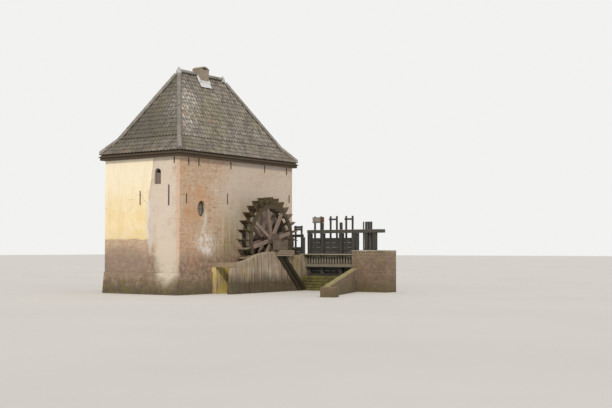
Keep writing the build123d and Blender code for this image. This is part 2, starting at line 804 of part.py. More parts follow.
# Weir
sill, posts, bank, beam, low_beam, walk, rack = weir()
add("weir_sill", sill)
add("weir_beam", beam)
add("weir_low_beam", low_beam)
add("weir_walkway", walk)
add("weir_rack", *rack)
add("bank_boards", *bank_boards())
for letter, head, (near, far) in zip("abc", (head_board, head_bar, head_bar), leaf_bounds()):
    add("gate_" + letter, gate(near, far, post_x + post_w + leaf_play, sill_z, leaf_top, stem_top, head))
race_posts, race_beam, race_rails = race_gate_frame()
add("weir_posts", *posts, *bank, *race_posts)
add("gate_keepers", *keepers(), *race_rails)
add("race_beam", race_beam)
add("race_gate", gate(y_face - lining_t - race_post_w + leaf_lap, pit_near_y + race_post_w - leaf_lap,
                      post_x + race_post_w + leaf_play, bed_z, race_leaf_top, race_stem_top, race_head_board))

# Bank
pier, coping, wing, end_block = abutment()
add("abutment", pier)
add("abutment_coping", coping)
add("wing_wall", wing)
add("wing_end_block", end_block)

for name, shape in nodes.items():
    export_step(shape, "parts/" + name + ".step")
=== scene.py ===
"""Looks of a brick watermill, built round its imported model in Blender 4.5.

Laid out as an add-on and run as a script. Metres, Z up. +X runs upstream along the wheel-side wall, +Y runs into the
house and the stream is on -Y. The origin is at the foot of the wheel-side wall, straight below the axle.
"""
import math
import random

import bpy
import numpy as np
from bpy.props import FloatProperty, FloatVectorProperty, IntProperty, PointerProperty
from mathutils import Matrix, Vector, noise


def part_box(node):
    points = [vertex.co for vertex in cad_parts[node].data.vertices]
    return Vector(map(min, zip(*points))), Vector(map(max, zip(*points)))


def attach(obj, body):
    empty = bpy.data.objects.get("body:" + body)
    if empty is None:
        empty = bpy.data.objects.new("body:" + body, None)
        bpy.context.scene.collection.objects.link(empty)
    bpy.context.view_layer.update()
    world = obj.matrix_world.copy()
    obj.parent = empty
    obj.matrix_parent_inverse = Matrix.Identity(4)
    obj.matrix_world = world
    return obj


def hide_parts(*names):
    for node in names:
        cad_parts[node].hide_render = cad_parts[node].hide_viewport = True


bl_info = {
    "name": "Brick Watermill",
    "version": (1, 0, 0),
    "blender": (4, 5, 0),
    "location": "3D View > Sidebar > Watermill",
    "description": "Dresses the packed watermill in bricks, pantiles, oak and stone",
    "category": "Add Mesh",
}

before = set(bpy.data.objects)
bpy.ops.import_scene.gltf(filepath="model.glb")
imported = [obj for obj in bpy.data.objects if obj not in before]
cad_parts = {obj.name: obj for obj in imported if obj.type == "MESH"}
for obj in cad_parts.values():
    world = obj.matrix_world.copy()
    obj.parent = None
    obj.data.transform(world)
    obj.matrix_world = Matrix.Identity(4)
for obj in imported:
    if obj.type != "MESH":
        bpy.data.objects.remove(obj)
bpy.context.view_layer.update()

# Places read from the frame
house_low, house_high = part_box("land_side_wall")
X_DOWN, X_UP = house_low.x, house_high.x
Y_BACK = house_high.y
Y_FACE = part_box("downstream_wall")[0].y - (house_high.y - house_low.y)
Y_MID = (Y_FACE + Y_BACK) / 2
SOFFIT_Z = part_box("eaves")[0].z
PLINTH_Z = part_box("splayed_foot")[1].z
PLINTH_OUT = Y_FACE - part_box("wheel_side_wall")[0].y
SPLAY_OUT = X_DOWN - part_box("splayed_foot")[0].x
AXLE_Z = (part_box("axle")[0].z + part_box("axle")[1].z) / 2
UP = Vector((0, 0, 1))

# Openings as packed: the oval windows, measured from the downstream corner, and the arched ones, measured from their
# wall's face. A round-headed opening has its foot, width and height
OCULUS_U = 1.53
OCULUS_Z = {"wheel_side": 3.97, "land_side": 4.77}
OCULUS_RINGS = ((0.28, 0.38), (0.39, 0.49))
LANCET_Y, SLIT_Y = Y_FACE + 1.35, Y_FACE + 0.66
LANCET = (5.1, 0.41, 0.73)
SLIT = (4.09, 0.11, 0.97)
# Boards behind the arched opening and the slit, from foot to top, and the glass of an oval window
SHUTTER_HALF, SHUTTER_Z = 0.2, (5.11, 5.62)
SLIT_HALF, SLIT_Z = 0.052, (4.1, 5.05)
PANE_DEEP, PANE_T = 0.155, 0.006
PANE_WIDE, PANE_TALL = Vector((0.235, 0, 0)), Vector((0, 0, 0.335))
# The axle's hole in the wall, and the row of bricks on end over the door
HOLE_R = 0.34
SOLDIERS, SOLDIER_TALL, SOLDIER_JOINT = 17, 0.215, 0.005
# Eaves boards: their thickness, and the height of the joint between the two on an edge
EAVES_T, EAVES_JOINT = 0.035, 0.17

# Roof lines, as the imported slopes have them
EAVE_OUT = X_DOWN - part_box("roof_downstream")[0].x
EAVE_Z = 6.65
KICK_RUN = 0.7
KICK_Z = 7.42
RIDGE_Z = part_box("roof_wheel_side")[1].z
RIDGE_X0 = X_DOWN + 2.55
RIDGE_X1 = X_UP - 2.86
# Along this direction, everything on the near hip lies at the same value
HIP_ACROSS = (1.0, 0.0, -(RIDGE_X0 - X_DOWN + EAVE_OUT - KICK_RUN) / (RIDGE_Z - KICK_Z))
HIP_LINE = RIDGE_X0 + HIP_ACROSS[2] * RIDGE_Z

# A tile runs under the next by its lap and lies lower there. The boarding lies between two depths below the tiles
TILE_LAP, TILE_TUCK, TILE_CREST = 0.06, 0.026, 0.80
BOARDING = (0.172, 0.18)
# Caps: how deep they are bedded, how far the hips stop short of the top, and their thickness, taper and half angle
CAP_SUNK = Vector((0, 0, 0.045))
HIP_SHORT = 0.2
CAP_T, CAP_TAPER, CAP_SPREAD = 0.016, 0.010, 112
# Lead in front of and behind the chimney, measured down the slope
APRON_RUN = 0.28
APRON_UPSTAND = 0.13
# Heights and radii of the lead cones
CONE = ((0.15, -0.15), (0.148, -0.06), (0.135, 0.0), (0.10, 0.06), (0.07, 0.11), (0.045, 0.15), (0.030, 0.178),
        (0.0, 0.19))

# The wheel, as packed
FLOATS = (103.2, 28)
ARMS = (13.0, 8)
RIM_RADII = (1.54, 1.76)
RIM_HALF = 0.045

# The strut under the bearing: its middle where it crosses one metre of height, its timbers and its lean. Its two
# near-black timbers copy a dark band that is partly the strut's cast shadow, so the second timber is painted shade
STRUT_X = 0.945
STRUT_WIDE = 0.29
STRUT_SLIT = 0.09
STRUT_LEAN = 0.96
LEDGE_X = (-0.20, 0.90)
# The race wall is swept up to its step, and flat past it
RACE_STEP_X, RACE_FLAT_Z = -0.26, 1.8
RACE_SWEEP = (-3.165, -0.8, -0.77)

# The gates, as packed
LEAF_T = 0.05
STEM_W = 0.09
STEM_D = 0.08
STEM_PAIR = 0.47
HEAD_T = 0.045
# Top of each leaf, then the foot and top of the piece across its stems, and how far this passes them
GATES = {"gate_a": (2.66, 3.42, 3.72, 0.06), "gate_b": (2.66, 3.55, 3.64, 0.01), "gate_c": (2.66, 3.55, 3.64, 0.01),
         "race_gate": (2.2, 3.05, 3.28, 0.01)}
CREST_SPLIT_Z = 3.44

# The wing wall: its two ends, thickness and heights there, and the block at its end
WING_START, WING_END = Vector((2.18, -4.4, 0)), Vector((-3.106, -6.265, 0))
WING_T = 0.3
WING_TOPS = (1.15, 0.46)
WING_BLOCK = (0.5, 0.71, 0.44)

# The stage: where the camera stands and looks, as fitted to the photograph, where the sun shines and how wide it is
CAMERA_PLACE, CAMERA_TURN = (-40.041, -31.227, 2.092), (math.radians(35.013), math.radians(2.553))
KEY_AIM, KEY_WIDTH = (0.66, 0.52, -0.62), math.radians(9)
FLOOR_HALF = 260.0


def linear(colour):
    """An sRGB hex colour as linear RGBA. The colour of a setting is that already."""
    if not isinstance(colour, str):
        return tuple(colour)
    shares = [int(colour[i:i + 2], 16) / 255 for i in (1, 3, 5)]
    return tuple(s / 12.92 if s <= 0.04045 else ((s + 0.055) / 1.055) ** 2.4 for s in shares) + (1.0,)


def add_node(tree, kind, links=None, **settings):
    """Adds a node with its settings, and for each input a value or another node's output. Gives its outputs."""
    node = tree.nodes.new(kind)
    for key, value in settings.items():
        setattr(node, key, value)
    for key, value in (links or {}).items():
        if isinstance(value, bpy.types.NodeSocket):
            tree.links.new(value, node.inputs[key])
        else:
            node.inputs[key].default_value = value
    return node.outputs


# ---------------------------------------------------------------- mesh tools


class Shape:
    """Gathers many small solids into one mesh, with a tone for each face and a grain for each corner.

    The grain is the place in a timber, with its length first. On a tile it tells how hollow and how tucked in it is.
    """

    def __init__(self, rng=None):
        self.rng = rng
        self.corners, self.faces, self.grains, self.tones = [], [], [], []

    def add(self, corners, faces, tone=0.5, grains=None):
        start = len(self.corners)
        self.corners.extend(tuple(c) for c in corners)
        self.grains.extend(tuple(g) for g in grains or corners)
        self.faces.extend(tuple(start + i for i in face) for face in faces)
        self.tones.extend([tone] * len(faces))

    def finish(self, name, material, slot, *nodes, body="mill", smooth=None):
        """Makes the object, which rides on a body and may stand for nodes."""
        mesh = bpy.data.meshes.new(name)
        mesh.from_pydata(self.corners, [], self.faces)
        mesh.attributes.new("tone", "FLOAT", "FACE").data.foreach_set("value", np.array(self.tones, np.float32))
        grain = np.array(self.grains, np.float32).ravel()
        mesh.attributes.new("grain", "FLOAT_VECTOR", "POINT").data.foreach_set("vector", grain)
        mesh.materials.append(material)
        if smooth:
            mesh.polygons.foreach_set("use_smooth", [True] * len(mesh.polygons))
            mesh.set_sharp_from_angle(angle=math.radians(smooth))
        mesh.update()
        obj = bpy.data.objects.new(name, mesh)
        bpy.context.scene.collection.objects.link(obj)
        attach(obj, body)
        if nodes:
            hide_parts(*nodes)

    def strip(self, rows):
        """Joins rows of points into a grid of faces."""
        wide = len(rows[0])
        faces = [(j * wide + i, j * wide + i + 1, (j + 1) * wide + i + 1, (j + 1) * wide + i)
                 for j in range(len(rows) - 1) for i in range(wide - 1)]
        self.add([point for row in rows for point in row], faces)

    def sheet(self, grid, under):
        """A closed sheet between a grid of points and the same grid moved by a step under it."""
        below = [[point + under for point in row] for row in grid]
        for rows in (grid, [row[::-1] for row in below], [below[0], grid[0]], [grid[-1], below[-1]],
                     [[row[0] for row in grid], [row[0] for row in below]],
                     [[row[-1] for row in below], [row[-1] for row in grid]]):
            self.strip(rows)

    def prism(self, near, far, tone=0.5):
        """A solid between two rings of points, the first of which runs anticlockwise as seen from outside."""
        n = len(near)
        faces = [tuple(range(n)), tuple(range(2 * n - 1, n - 1, -1))]
        faces += [(i, i + n, (i + 1) % n + n, (i + 1) % n) for i in range(n)]
        self.add(near + far, faces, tone)

    def stud(self, centre, axis, radius, height, parts=8):
        """A domed nail or bolt head."""
        axis = Vector(axis)
        side = axis.orthogonal().normalized()
        rings = [circle(centre + axis * height * h, side, axis.cross(side), radius * r, parts)
                 for r, h in ((1.0, 0.0), (0.9, 0.6), (0.5, 1.0))]
        faces = [(j * parts + i, j * parts + (i + 1) % parts, (j + 1) * parts + (i + 1) % parts, (j + 1) * parts + i)
                 for j in range(2) for i in range(parts)]
        self.add(sum(rings, []), faces + [tuple(range(2 * parts, 3 * parts))])

    def board(self, low, high, along, place=None, worn=0.006, stations=5, tone=None, bend=None):
        """A timber between two corners of its frame, its arrises worn unevenly, with grain along one of its axes."""
        rng, a, b = self.rng, (along + 1) % 3, (along + 2) % 3
        place = place or Matrix.Identity(4)
        size = [high[i] - low[i] for i in range(3)]
        chamfer = min(worn, *(0.3 * s for s in size))
        inset = min(chamfer, 0.25 * size[along])
        runs = [0.0, inset, *(size[along] * i / stations for i in range(1, stations)), size[along] - inset,
                size[along]]
        offset = Vector([rng.uniform(0, 30) for _ in range(3)])
        seed = Vector((rng.uniform(0, 50), rng.uniform(0, 50), 0))
        corners, grains = [], []
        for n, run in enumerate(runs):
            pull = chamfer if n in (0, len(runs) - 1) else 0.0
            for k in range(8):
                quarter = k // 2
                wear = max(pull, chamfer * (1 + 0.8 * noise.noise(seed + Vector((run * 5, k * 1.7, 0)))))
                slack = 0.35 * chamfer * (1 + noise.noise(seed + Vector((run * 2, 9, quarter * 3))))
                cuts = (pull, wear) if (k % 2 == 0) == (quarter % 2 == 0) else (wear, pull)
                point = Vector((0, 0, 0))
                point[along] = low[along] + run
                for axis, cut, far in ((a, cuts[0], quarter in (0, 3)), (b, cuts[1], quarter in (0, 1))):
                    point[axis] = high[axis] - cut - slack if far else low[axis] + cut + slack
                grains.append(Vector((point[along], point[a], point[b])) + offset)
                corners.append(bend(point) if bend else place @ point)
        last = 8 * (len(runs) - 1)
        faces = [(n + k, n + (k + 1) % 8, n + 8 + (k + 1) % 8, n + 8 + k) for n in range(0, last, 8)
                 for k in range(8)]
        faces += [tuple(range(7, -1, -1)), tuple(range(last, last + 8))]
        self.add(corners, faces, rng.random() if tone is None else tone, grains)

    def planks(self, low, high, along, across, count, gap=0.004, **rest):
        """Several boards side by side between two corners."""
        pitch = (high[across] - low[across] + gap) / count
        for i in range(count):
            one_low, one_high = Vector(low), Vector(high)
            one_low[across] = low[across] + i * pitch
            one_high[across] = one_low[across] + pitch - gap
            self.board(one_low, one_high, along, **rest)


class Brickwork(Shape):
    """Bricks that stand out of their mortar, laid on frames with X along the wall, Y up it and Z out of it."""

    def __init__(self, rng, settings):
        super().__init__(rng)
        self.settings = settings

    def brick(self, place, quad, relief=1.0):
        """One brick face standing out of its wall, with soft arrises."""
        proud = self.settings.proud * relief
        out = proud * self.rng.uniform(0.55, 1.0)
        arris = 0.004
        mid = [sum(p[k] for p in quad) / 4 for k in (0, 1)]
        corners = [place @ Vector((u, v, -0.002)) for u, v in quad]
        for corner in quad:
            u, v = (c + math.copysign(min(arris, abs(m - c)), m - c) for c, m in zip(corner, mid))
            corners.append(place @ Vector((u, v, out + self.rng.uniform(-0.12, 0.0) * proud)))
        faces = [(4, 5, 6, 7)] + [(k, (k + 1) % 4, 4 + (k + 1) % 4, 4 + k) for k in range(4)]
        self.add(corners, faces, self.rng.random())

    def courses(self, place, width, height, openings=(), top=None, foot=0.0):
        """Courses of stretchers and headers in turn, cut at the openings and under a sloping top."""
        joint = self.settings.joint
        pitch = self.settings.height + joint
        half = (self.settings.length + joint) / 2
        for course in range(int(foot // pitch), int(math.ceil(height / pitch))):
            v0 = max(course * pitch + joint / 2, foot)
            v1 = min((course + 1) * pitch - joint / 2, height)
            if v1 - v0 < 0.015:
                continue
            step = half if course % 2 else 2 * half
            u = -half / 2 if course % 2 else -half * (0 if course % 4 else 1)
            holes = [hole for hole in (cut(v0, v1) for cut in openings) if hole]
            while u < width:
                pieces = [(max(u + joint / 2, 0.0), min(u + step - joint / 2, width))]
                for c0, c1 in holes:
                    pieces = [p for a, b in pieces for p in ((a, min(b, c0)), (max(a, c1), b)) if p[1] - p[0] > 0.012]
                for u0, u1 in pieces:
                    if u1 - u0 < 0.02:
                        continue
                    head = min(v1, top(u0), top(u1)) if top else v1
                    if head - v0 > 0.015:
                        self.brick(place, [(u0, v0), (u1, v0), (u1, head), (u0, head)])
                u += step

    def ring(self, place, centre, inner, outer):
        """Bricks on edge round an opening, between two ovals."""
        pitch = (self.settings.height + self.settings.joint) / 1.15
        count = round(math.pi * (inner[0] + inner[1]) / pitch)
        gap = 2 * math.pi / count * 0.12
        for i in range(count):
            a0, a1 = 2 * math.pi * i / count + gap / 2, 2 * math.pi * (i + 1) / count - gap / 2
            self.brick(place, [(centre[0] + r[0] * math.cos(t), centre[1] + r[1] * math.sin(t))
                               for r, t in ((inner, a1), (inner, a0), (outer, a0), (outer, a1))], 1.2)

    def round_block(self, ring, height):
        """Courses on each side of a block, whose foot is a ring of four corners."""
        for p, q in zip(ring, ring[1:] + ring[:1]):
            self.courses(face_frame(p, q - p), (q - p).length, height)


def circle(centre, u, v, radius, count):
    """Points round a circle in the plane of two directions."""
    return [centre + (u * math.cos(t) + v * math.sin(t)) * radius
            for t in (2 * math.pi * i / count for i in range(count))]


def corners_of(low, high):
    """The four corners of a box's foot, anticlockwise from above."""
    return [Vector((x, y, low.z)) for x, y in ((low.x, low.y), (high.x, low.y), (high.x, high.y), (low.x, high.y))]


def solids_of(node):
    """The separate solids of a node, each as an array of its corners."""
    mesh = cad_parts[node].data
    points = np.array([v.co for v in mesh.vertices])
    _, same = np.unique(np.round(points, 5), axis=0, return_inverse=True)
    same = same.ravel()
    leader = list(range(int(same.max()) + 1))

    def lead(i):
        while leader[i] != i:
            leader[i] = leader[leader[i]]
            i = leader[i]
        return i

    for polygon in mesh.polygons:
        first = lead(same[polygon.vertices[0]])
        for v in polygon.vertices[1:]:
            leader[lead(same[v])] = first
    groups = {}
    for i, point in zip(same, points):
        groups.setdefault(lead(i), []).append(point)
    return [np.array(g) for g in groups.values()]


def boxes_of(node, first=None, count=None):
    """Frame, low corner and high corner of each solid of a node.

    With a first angle and a count, the frames are turned about the axle, and X runs out from its centre.
    """
    found = []
    for points in solids_of(node):
        place = Matrix.Identity(4)
        if count:
            centre, step = points.mean(axis=0), 360 / count
            angle = math.degrees(math.atan2(centre[2] - AXLE_Z, centre[0]))
            turn = math.radians(first + round((angle - first) / step) * step)
            place = Matrix.Translation((0, 0, AXLE_Z)) @ Matrix.Rotation(-turn, 4, "Y")
        back = np.array(place.inverted())
        local = points @ back[:3, :3].T + back[:3, 3]
        found.append((place, Vector(local.min(0)), Vector(local.max(0))))
    return found


def dress(node, material, bevel=0.0):
    """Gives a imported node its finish, and rounds its edges where a bevel is asked."""
    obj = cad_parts[node]
    obj.data.materials.clear()
    obj.data.materials.append(material)
    if bevel:
        obj.modifiers.new("Weld", "WELD").merge_threshold = 0.0001
        edge = obj.modifiers.new("Arris", "BEVEL")
        edge.width = bevel
        edge.segments = 2
        edge.limit_method = "ANGLE"
        edge.angle_limit = math.radians(35)


def face_frame(origin, along, up=UP):
    """A frame on a face: X along it, Y up it and Z out of it."""
    u, v = Vector(along).normalized(), Vector(up).normalized()
    place = Matrix((u, v, u.cross(v).normalized())).transposed().to_4x4()
    place.translation = Vector(origin)
    return place


def oval_chord(u, v, half_u, half_v):
    """Where an oval opening cuts a course."""
    def chord(v0, v1):
        share = 1 - ((min(max(v, v0), v1) - v) / half_v) ** 2
        return (u - half_u * math.sqrt(share), u + half_u * math.sqrt(share)) if share > 0 else None
    return chord


def arch_chord(u, v_foot, width, height):
    """Where an opening with a round head cuts a course."""
    spring = v_foot + height - width / 2

    def chord(v0, v1):
        if v1 < v_foot or v0 > v_foot + height:
            return None
        half = width / 2 if v0 < spring else math.sqrt(max(0.0, (width / 2) ** 2 - (v0 - spring) ** 2))
        return u - half, u + half
    return chord


# ---------------------------------------------------------------- materials


class Finish:
    """A material built up in coats of colour. Its patterns are drawn in metres over the whole mill.

    A pattern is an output of a node, a number, or what the cloud method takes, in brackets.
    """

    def __init__(self, name, roughness, colour):
        self.material = bpy.data.materials.new(name)
        self.material.use_nodes = True
        self.tree = self.material.node_tree
        self.shader = self.tree.nodes["Principled BSDF"]
        self.shader.inputs["Roughness"].default_value = roughness
        self.shader.inputs["IOR"].default_value = 1.5
        self.place = add_node(self.tree, "ShaderNodeTexCoord")["Object"]
        self.tone = add_node(self.tree, "ShaderNodeAttribute", attribute_name="tone")["Fac"]
        self.grain = add_node(self.tree, "ShaderNodeAttribute", attribute_name="grain")["Vector"]
        self.colour = linear(colour)

    def coat(self, tint, *shares):
        """Lays a colour over the last one, by the product of some patterns."""
        share, *others = (self.cloud(*s) if isinstance(s, tuple) else s for s in shares)
        for other in others:
            share = add_node(self.tree, "ShaderNodeMath", {0: share, 1: other}, operation="MULTIPLY")[0]
        mixed = add_node(self.tree, "ShaderNodeMix", {0: share, 6: self.colour, 7: linear(tint)}, data_type="RGBA")
        self.colour = mixed[2]

    def done(self, *layers):
        """Links the colour and the relief, whose patterns each have a depth in metres, and gives the material."""
        links = {}
        for pattern, depth in layers:
            height = self.cloud(*pattern) if isinstance(pattern, tuple) else pattern
            links.update({"Height": height, "Distance": depth, "Strength": 1.0})
            links["Normal"] = add_node(self.tree, "ShaderNodeBump", links)[0]
        if layers:
            self.tree.links.new(links["Normal"], self.shader.inputs["Normal"])
        self.tree.links.new(self.colour, self.shader.inputs["Base Color"])
        return self.material

    def cloud(self, size_mm, low=0.35, high=0.65, stretch=(1, 1, 1), shift=0.0, place=None, detail=4.0):
        """Soft blotches about one real size across, from 0 to 1, stretched along some axes."""
        moved = add_node(self.tree, "ShaderNodeMapping", {"Vector": place or self.place, "Location": (shift,) * 3,
                                                          "Scale": tuple(1 / s for s in stretch)})[0]
        spots = add_node(self.tree, "ShaderNodeTexNoise", {"Vector": moved, "Scale": 500 / size_mm, "Detail": detail,
                                                           "Roughness": 0.6})[0]
        return add_node(self.tree, "ShaderNodeMapRange", {0: spots, 1: low, 2: high})[0]

    def band(self, value, low, high, axis=2):
        """0 where a value, or a place's height, is at one number, and 1 where it is at another."""
        part = add_node(self.tree, "ShaderNodeSeparateXYZ", {0: value})[axis]
        return add_node(self.tree, "ShaderNodeMapRange", {0: part, 1: low, 2: high})[0]

    def facing_up(self, low=0.3, high=0.8):
        """1 where a surface lies open to the rain."""
        return self.band(add_node(self.tree, "ShaderNodeNewGeometry")["Normal"], low, high)

    def ragged(self, size_mm, amount):
        """Places shifted by noise, so that what is drawn there has ragged edges."""
        swirl = add_node(self.tree, "ShaderNodeTexNoise", {"Vector": self.place, "Scale": 500 / size_mm,
                                                           "Detail": 3.0})[1]
        shift = add_node(self.tree, "ShaderNodeVectorMath", {0: swirl, 1: (0.5, 0.5, 0.5)}, operation="SUBTRACT")[0]
        shift = add_node(self.tree, "ShaderNodeVectorMath", {0: shift, "Scale": amount}, operation="SCALE")[0]
        return add_node(self.tree, "ShaderNodeVectorMath", {0: self.place, 1: shift}, operation="ADD")[0]

    def region(self, centre, reach, soft=0.5, place=None):
        """An oval region, 1 in its middle and 0 past its reach."""
        scale = tuple(1 / r for r in reach)
        goal = tuple(c * s for c, s in zip(centre, scale))
        scaled = add_node(self.tree, "ShaderNodeVectorMath", {0: place or self.place, 1: scale},
                          operation="MULTIPLY")[0]
        away = add_node(self.tree, "ShaderNodeVectorMath", {0: scaled, 1: goal}, operation="DISTANCE")["Value"]
        return self.band(away, 1.0, 1.0 - soft)


# Stains on the walls, and patches of painted shade among them: middle, reach, colour, share, size of the breaks in
# millimetres or None where it is even, and how far the breaks run down
WALL_STAINS_AND_SHADE = (
    ((-5.0, -0.2, 4.4), (1.6, 0.5, 2.6), "#ca935f", 0.5, 500, 1.0),
    ((-5.0, -0.2, 1.9), (1.1, 0.5, 0.9), "#b7805f", 0.35, 400, 1.0),
    ((0.4, -0.2, 4.6), (3.8, 0.6, 2.8), "#cfc7bd", 0.6, None, 1.0),
    ((-3.9, -0.2, 2.4), (0.9, 0.6, 0.85), "#e4dfd8", 0.95, 75, 1.2),
    ((-3.95, -0.2, 3.4), (0.22, 0.6, 0.75), "#dcd6cc", 0.8, 90, 6.0),
    ((-3.3, -0.2, 5.0), (0.7, 0.6, 0.5), "#d5cdbf", 0.6, 220, 1.0),
    ((-2.5, -0.2, 2.6), (1.2, 0.6, 1.3), "#858059", 0.85, 110, 9.0),
    ((-1.2, -0.2, 3.6), (1.8, 0.6, 1.8), "#aa9f84", 0.45, 300, 3.0),
    ((2.95, -0.2, 4.9), (0.3, 0.4, 0.6), "#cdb98a", 0.7, 200, 1.0),
    ((-5.9, 0.75, 4.5), (0.25, 1.5, 3.6), "#e4dacd", 0.72, None, 1.0),
    ((-5.9, 0.5, 1.9), (0.25, 1.12, 1.75), "#dbd0bf", 0.88, None, 1.0),
    ((-5.9, 1.6, 3.2), (0.4, 0.25, 1.6), "#d8d0cc", 0.7, None, 1.0),
    ((-5.77, -0.09, 3.7), (0.12, 0.12, 3.2), "#dab79f", 0.65, None, 1.0),
    # Painted shade: the wheel's cast shadow on the wall behind it, over real damp from its splash
    ((1.5, -0.2, 2.1), (1.5, 0.5, 1.75), "#1e1c13", 0.95, None, 1.0),
    ((0.1, -0.2, 1.6), (1.2, 0.5, 1.05), "#1e1c13", 0.9, None, 1.0),
    # Painted shade in the reveal of the oval window on the wheel side
    ((-4.24, -0.08, 3.97), (0.37, 0.1, 0.47), "#57493b", 0.8, None, 1.0),
    ((-6.0, 3.3, 1.5), (0.6, 2.2, 0.95), "#9b8778", 0.6, None, 1.0),
)


def weather_wall(wall):
    """Stains of an old wall beside water: limewash left in patches, green runs, a dark damp foot,
    and painted shade behind the wheel and in an oval window's reveal.
    """
    ragged, close = wall.ragged(600, 0.5), wall.ragged(150, 0.12)
    wall.coat("#7d7463", (90, 0.5, 0.72, (1, 1, 14)), 0.24)
    wall.coat("#6b584d", wall.band(ragged, 2.25, 1.45), (110, 0.15, 0.6), 0.8)
    for centre, reach, tint, share, size, run in WALL_STAINS_AND_SHADE:
        if size:
            wall.coat(tint, wall.region(centre, reach, 0.6, ragged), (size, 0.38, 0.6, (1, 1, run)), share)
        else:
            wall.coat(tint, wall.region(centre, reach, 0.3, close), (400, 0.1, 0.5), share)
    wall.coat("#4c4334", wall.band(ragged, 0.9, 0.15), 0.8)
    wall.coat("#6f6b38", wall.band(ragged, 1.1, 0.4), (120, 0.48, 0.6), 0.6)


def brick_material(settings):
    """Hand-made bricks, fired in a clamp: matt and pitted, each with a warmth of its own, some nearly black."""
    brick = Finish("weathered_handmade_brick", 0.92, settings.pale)
    brick.coat(settings.warm, brick.tone)
    brick.coat("#6b5347", brick.band(brick.tone, 0.94, 0.96), 0.4)
    brick.coat("#e0d2c0", (45,), 0.22)
    brick.coat("#7a6252", (14, 0.55, 0.7), 0.3)
    brick.coat("#ddc7b0", (120, 0.46, 0.62, (9, 9, 0.7), 1.0), 0.3)
    weather_wall(brick)
    return brick.done(((60, 0, 1), 0.006), ((9, 0.2, 0.8), 0.002))


def dark_brick_material(name, dark, pale, stain, moss, foot_z=None):
    """Hard-burnt brick: red-brown and purple, stained in patches, with moss, and damp at its foot if it has one."""
    brick = Finish(name, 0.9, dark)
    brick.coat(pale, brick.tone)
    brick.coat("#8a7d6c", (60,), 0.35)
    brick.coat(stain, (300, 0.45, 0.6), 0.5)
    if foot_z:
        brick.coat("#4b4430", brick.band(brick.ragged(400, 0.3), foot_z, 0.1), 0.6)
    brick.coat(moss, (90, 0.5, 0.6, (1, 1, 1), 6.0), 0.45)
    return brick.done(((60, 0, 1), 0.006), ((9, 0.2, 0.8), 0.002))


def mortar_material(settings):
    """Lime mortar with coarse sand, washed out of the joints: pale, chalky and matt."""
    lime = Finish("lime_mortar", 0.96, settings.mortar)
    lime.coat("#a39784", (70,))
    weather_wall(lime)
    lime.coat("#a0965c", lime.facing_up(), (90, 0.35, 0.55))
    return lime.done(((30, 0.2, 0.8), 0.004), ((5, 0.3, 0.7), 0.0015))


def plaster_material():
    """Ochre limewash on lime render, trowelled by hand: chalky, uneven, worn thin and washed pale at its edge."""
    wash = Finish("ochre_limewash_render", 0.9, "#fae8bd")
    wash.coat("#f3dba3", (900,))
    wash.coat("#fff6e0", wash.band(wash.ragged(800, 0.9), 3.6, 5.4), 0.75)
    wash.coat("#fdf2d6", (240, 0.45, 0.62), 0.45)
    wash.coat("#d9c08c", (110, 0.5, 0.7, (1, 1, 7)), 0.22)
    wash.coat("#c7b08c", (55, 0.62, 0.68), 0.3)
    wash.coat("#dcc698", wash.band(wash.ragged(500, 0.5), 3.3, 2.5), 0.4)
    wash.coat("#dcd3cc", wash.region((-5.8, 1.5, 3.4), (0.5, 0.45, 1.9), 0.5, wash.ragged(300, 0.2)), 0.7)
    cells = add_node(wash.tree, "ShaderNodeTexVoronoi", {"Vector": wash.ragged(300, 0.3), "Scale": 1.1},
                     feature="DISTANCE_TO_EDGE")[0]
    wash.coat("#a08c68", wash.band(cells, 0.012, 0.004), (800, 0.5, 0.55), 0.4)
    return wash.done(((320, 0, 1), 0.02), ((40, 0, 1), 0.004), ((6, 0.2, 0.8), 0.001))


def pantile_material(settings):
    """Smoke-fired clay pantiles, grey and matt: lichen and painted highlights near the hip, painted shade in the
    hollows, under the laps, beside the hip and over the downstream slope, and moss where it is damp.
    """
    tile = Finish("smoked_clay_pantile", 0.8, settings.dark)
    tile.coat(settings.pale, tile.tone)
    tile.coat("#6f655a", (1300,), 0.45)
    tile.coat("#a39a90", (70, 0.5, 0.62), 0.3)
    tile.coat("#c4bbb0", (45, 0.56, 0.62), (700, 0.35, 0.6), 0.6)
    seam = add_node(tile.tree, "ShaderNodeVectorMath", {0: tile.place, 1: HIP_ACROSS},
                    operation="DOT_PRODUCT")["Value"]
    near = tile.band(seam, HIP_LINE + 1.7, HIP_LINE + 0.2)
    # Pale specks along the near hip: part lichen, part painted highlight
    lit_hip_region = tile.region((-3.9, 0.7, 9.0), (2.6, 1.7, 2.4))
    tile.coat("#b9b3ab", near, lit_hip_region, 0.3)
    tile.coat("#e2d9d2", near, lit_hip_region, (70, 0.5, 0.55, (1, 1, 1), 2.0), 0.9)
    # Painted shade: the trees' cast shadow over the downstream slope
    tile.coat("#5a564a", tile.region((-5.3, 2.6, 8.0), (1.3, 3.2, 2.9), 0.4), 0.42)
    # Painted shadow of the hip caps on the tiles beside them
    tile.coat("#4f4b42", tile.band(seam, HIP_LINE + 0.3, HIP_LINE + 0.19),
              tile.band(seam, HIP_LINE - 0.02, HIP_LINE + 0.02), 0.55)
    # Painted shade in each tile's hollow and under the lap of the row above
    tile.coat("#4b463e", tile.band(tile.grain, 0.5, 1.0, axis=0), 0.5)
    tile.coat("#4b463e", tile.band(tile.grain, 0.6, 0.8, axis=1), 0.4)
    tile.coat("#7f7b55", (60, 0.48, 0.58), (900, 0.5, 0.62, (1, 1, 1), 7.0), 0.6)
    tile.coat("#9a6f5e", tile.band(tile.tone, 0.965, 0.975), 0.6)
    tile.coat("#62594a", tile.band(tile.ragged(700, 0.5), 7.9, 6.9), (200, 0.35, 0.6), 0.4)
    return tile.done(((50, 0.2, 0.8), 0.004), ((8, 0.3, 0.7), 0.001))


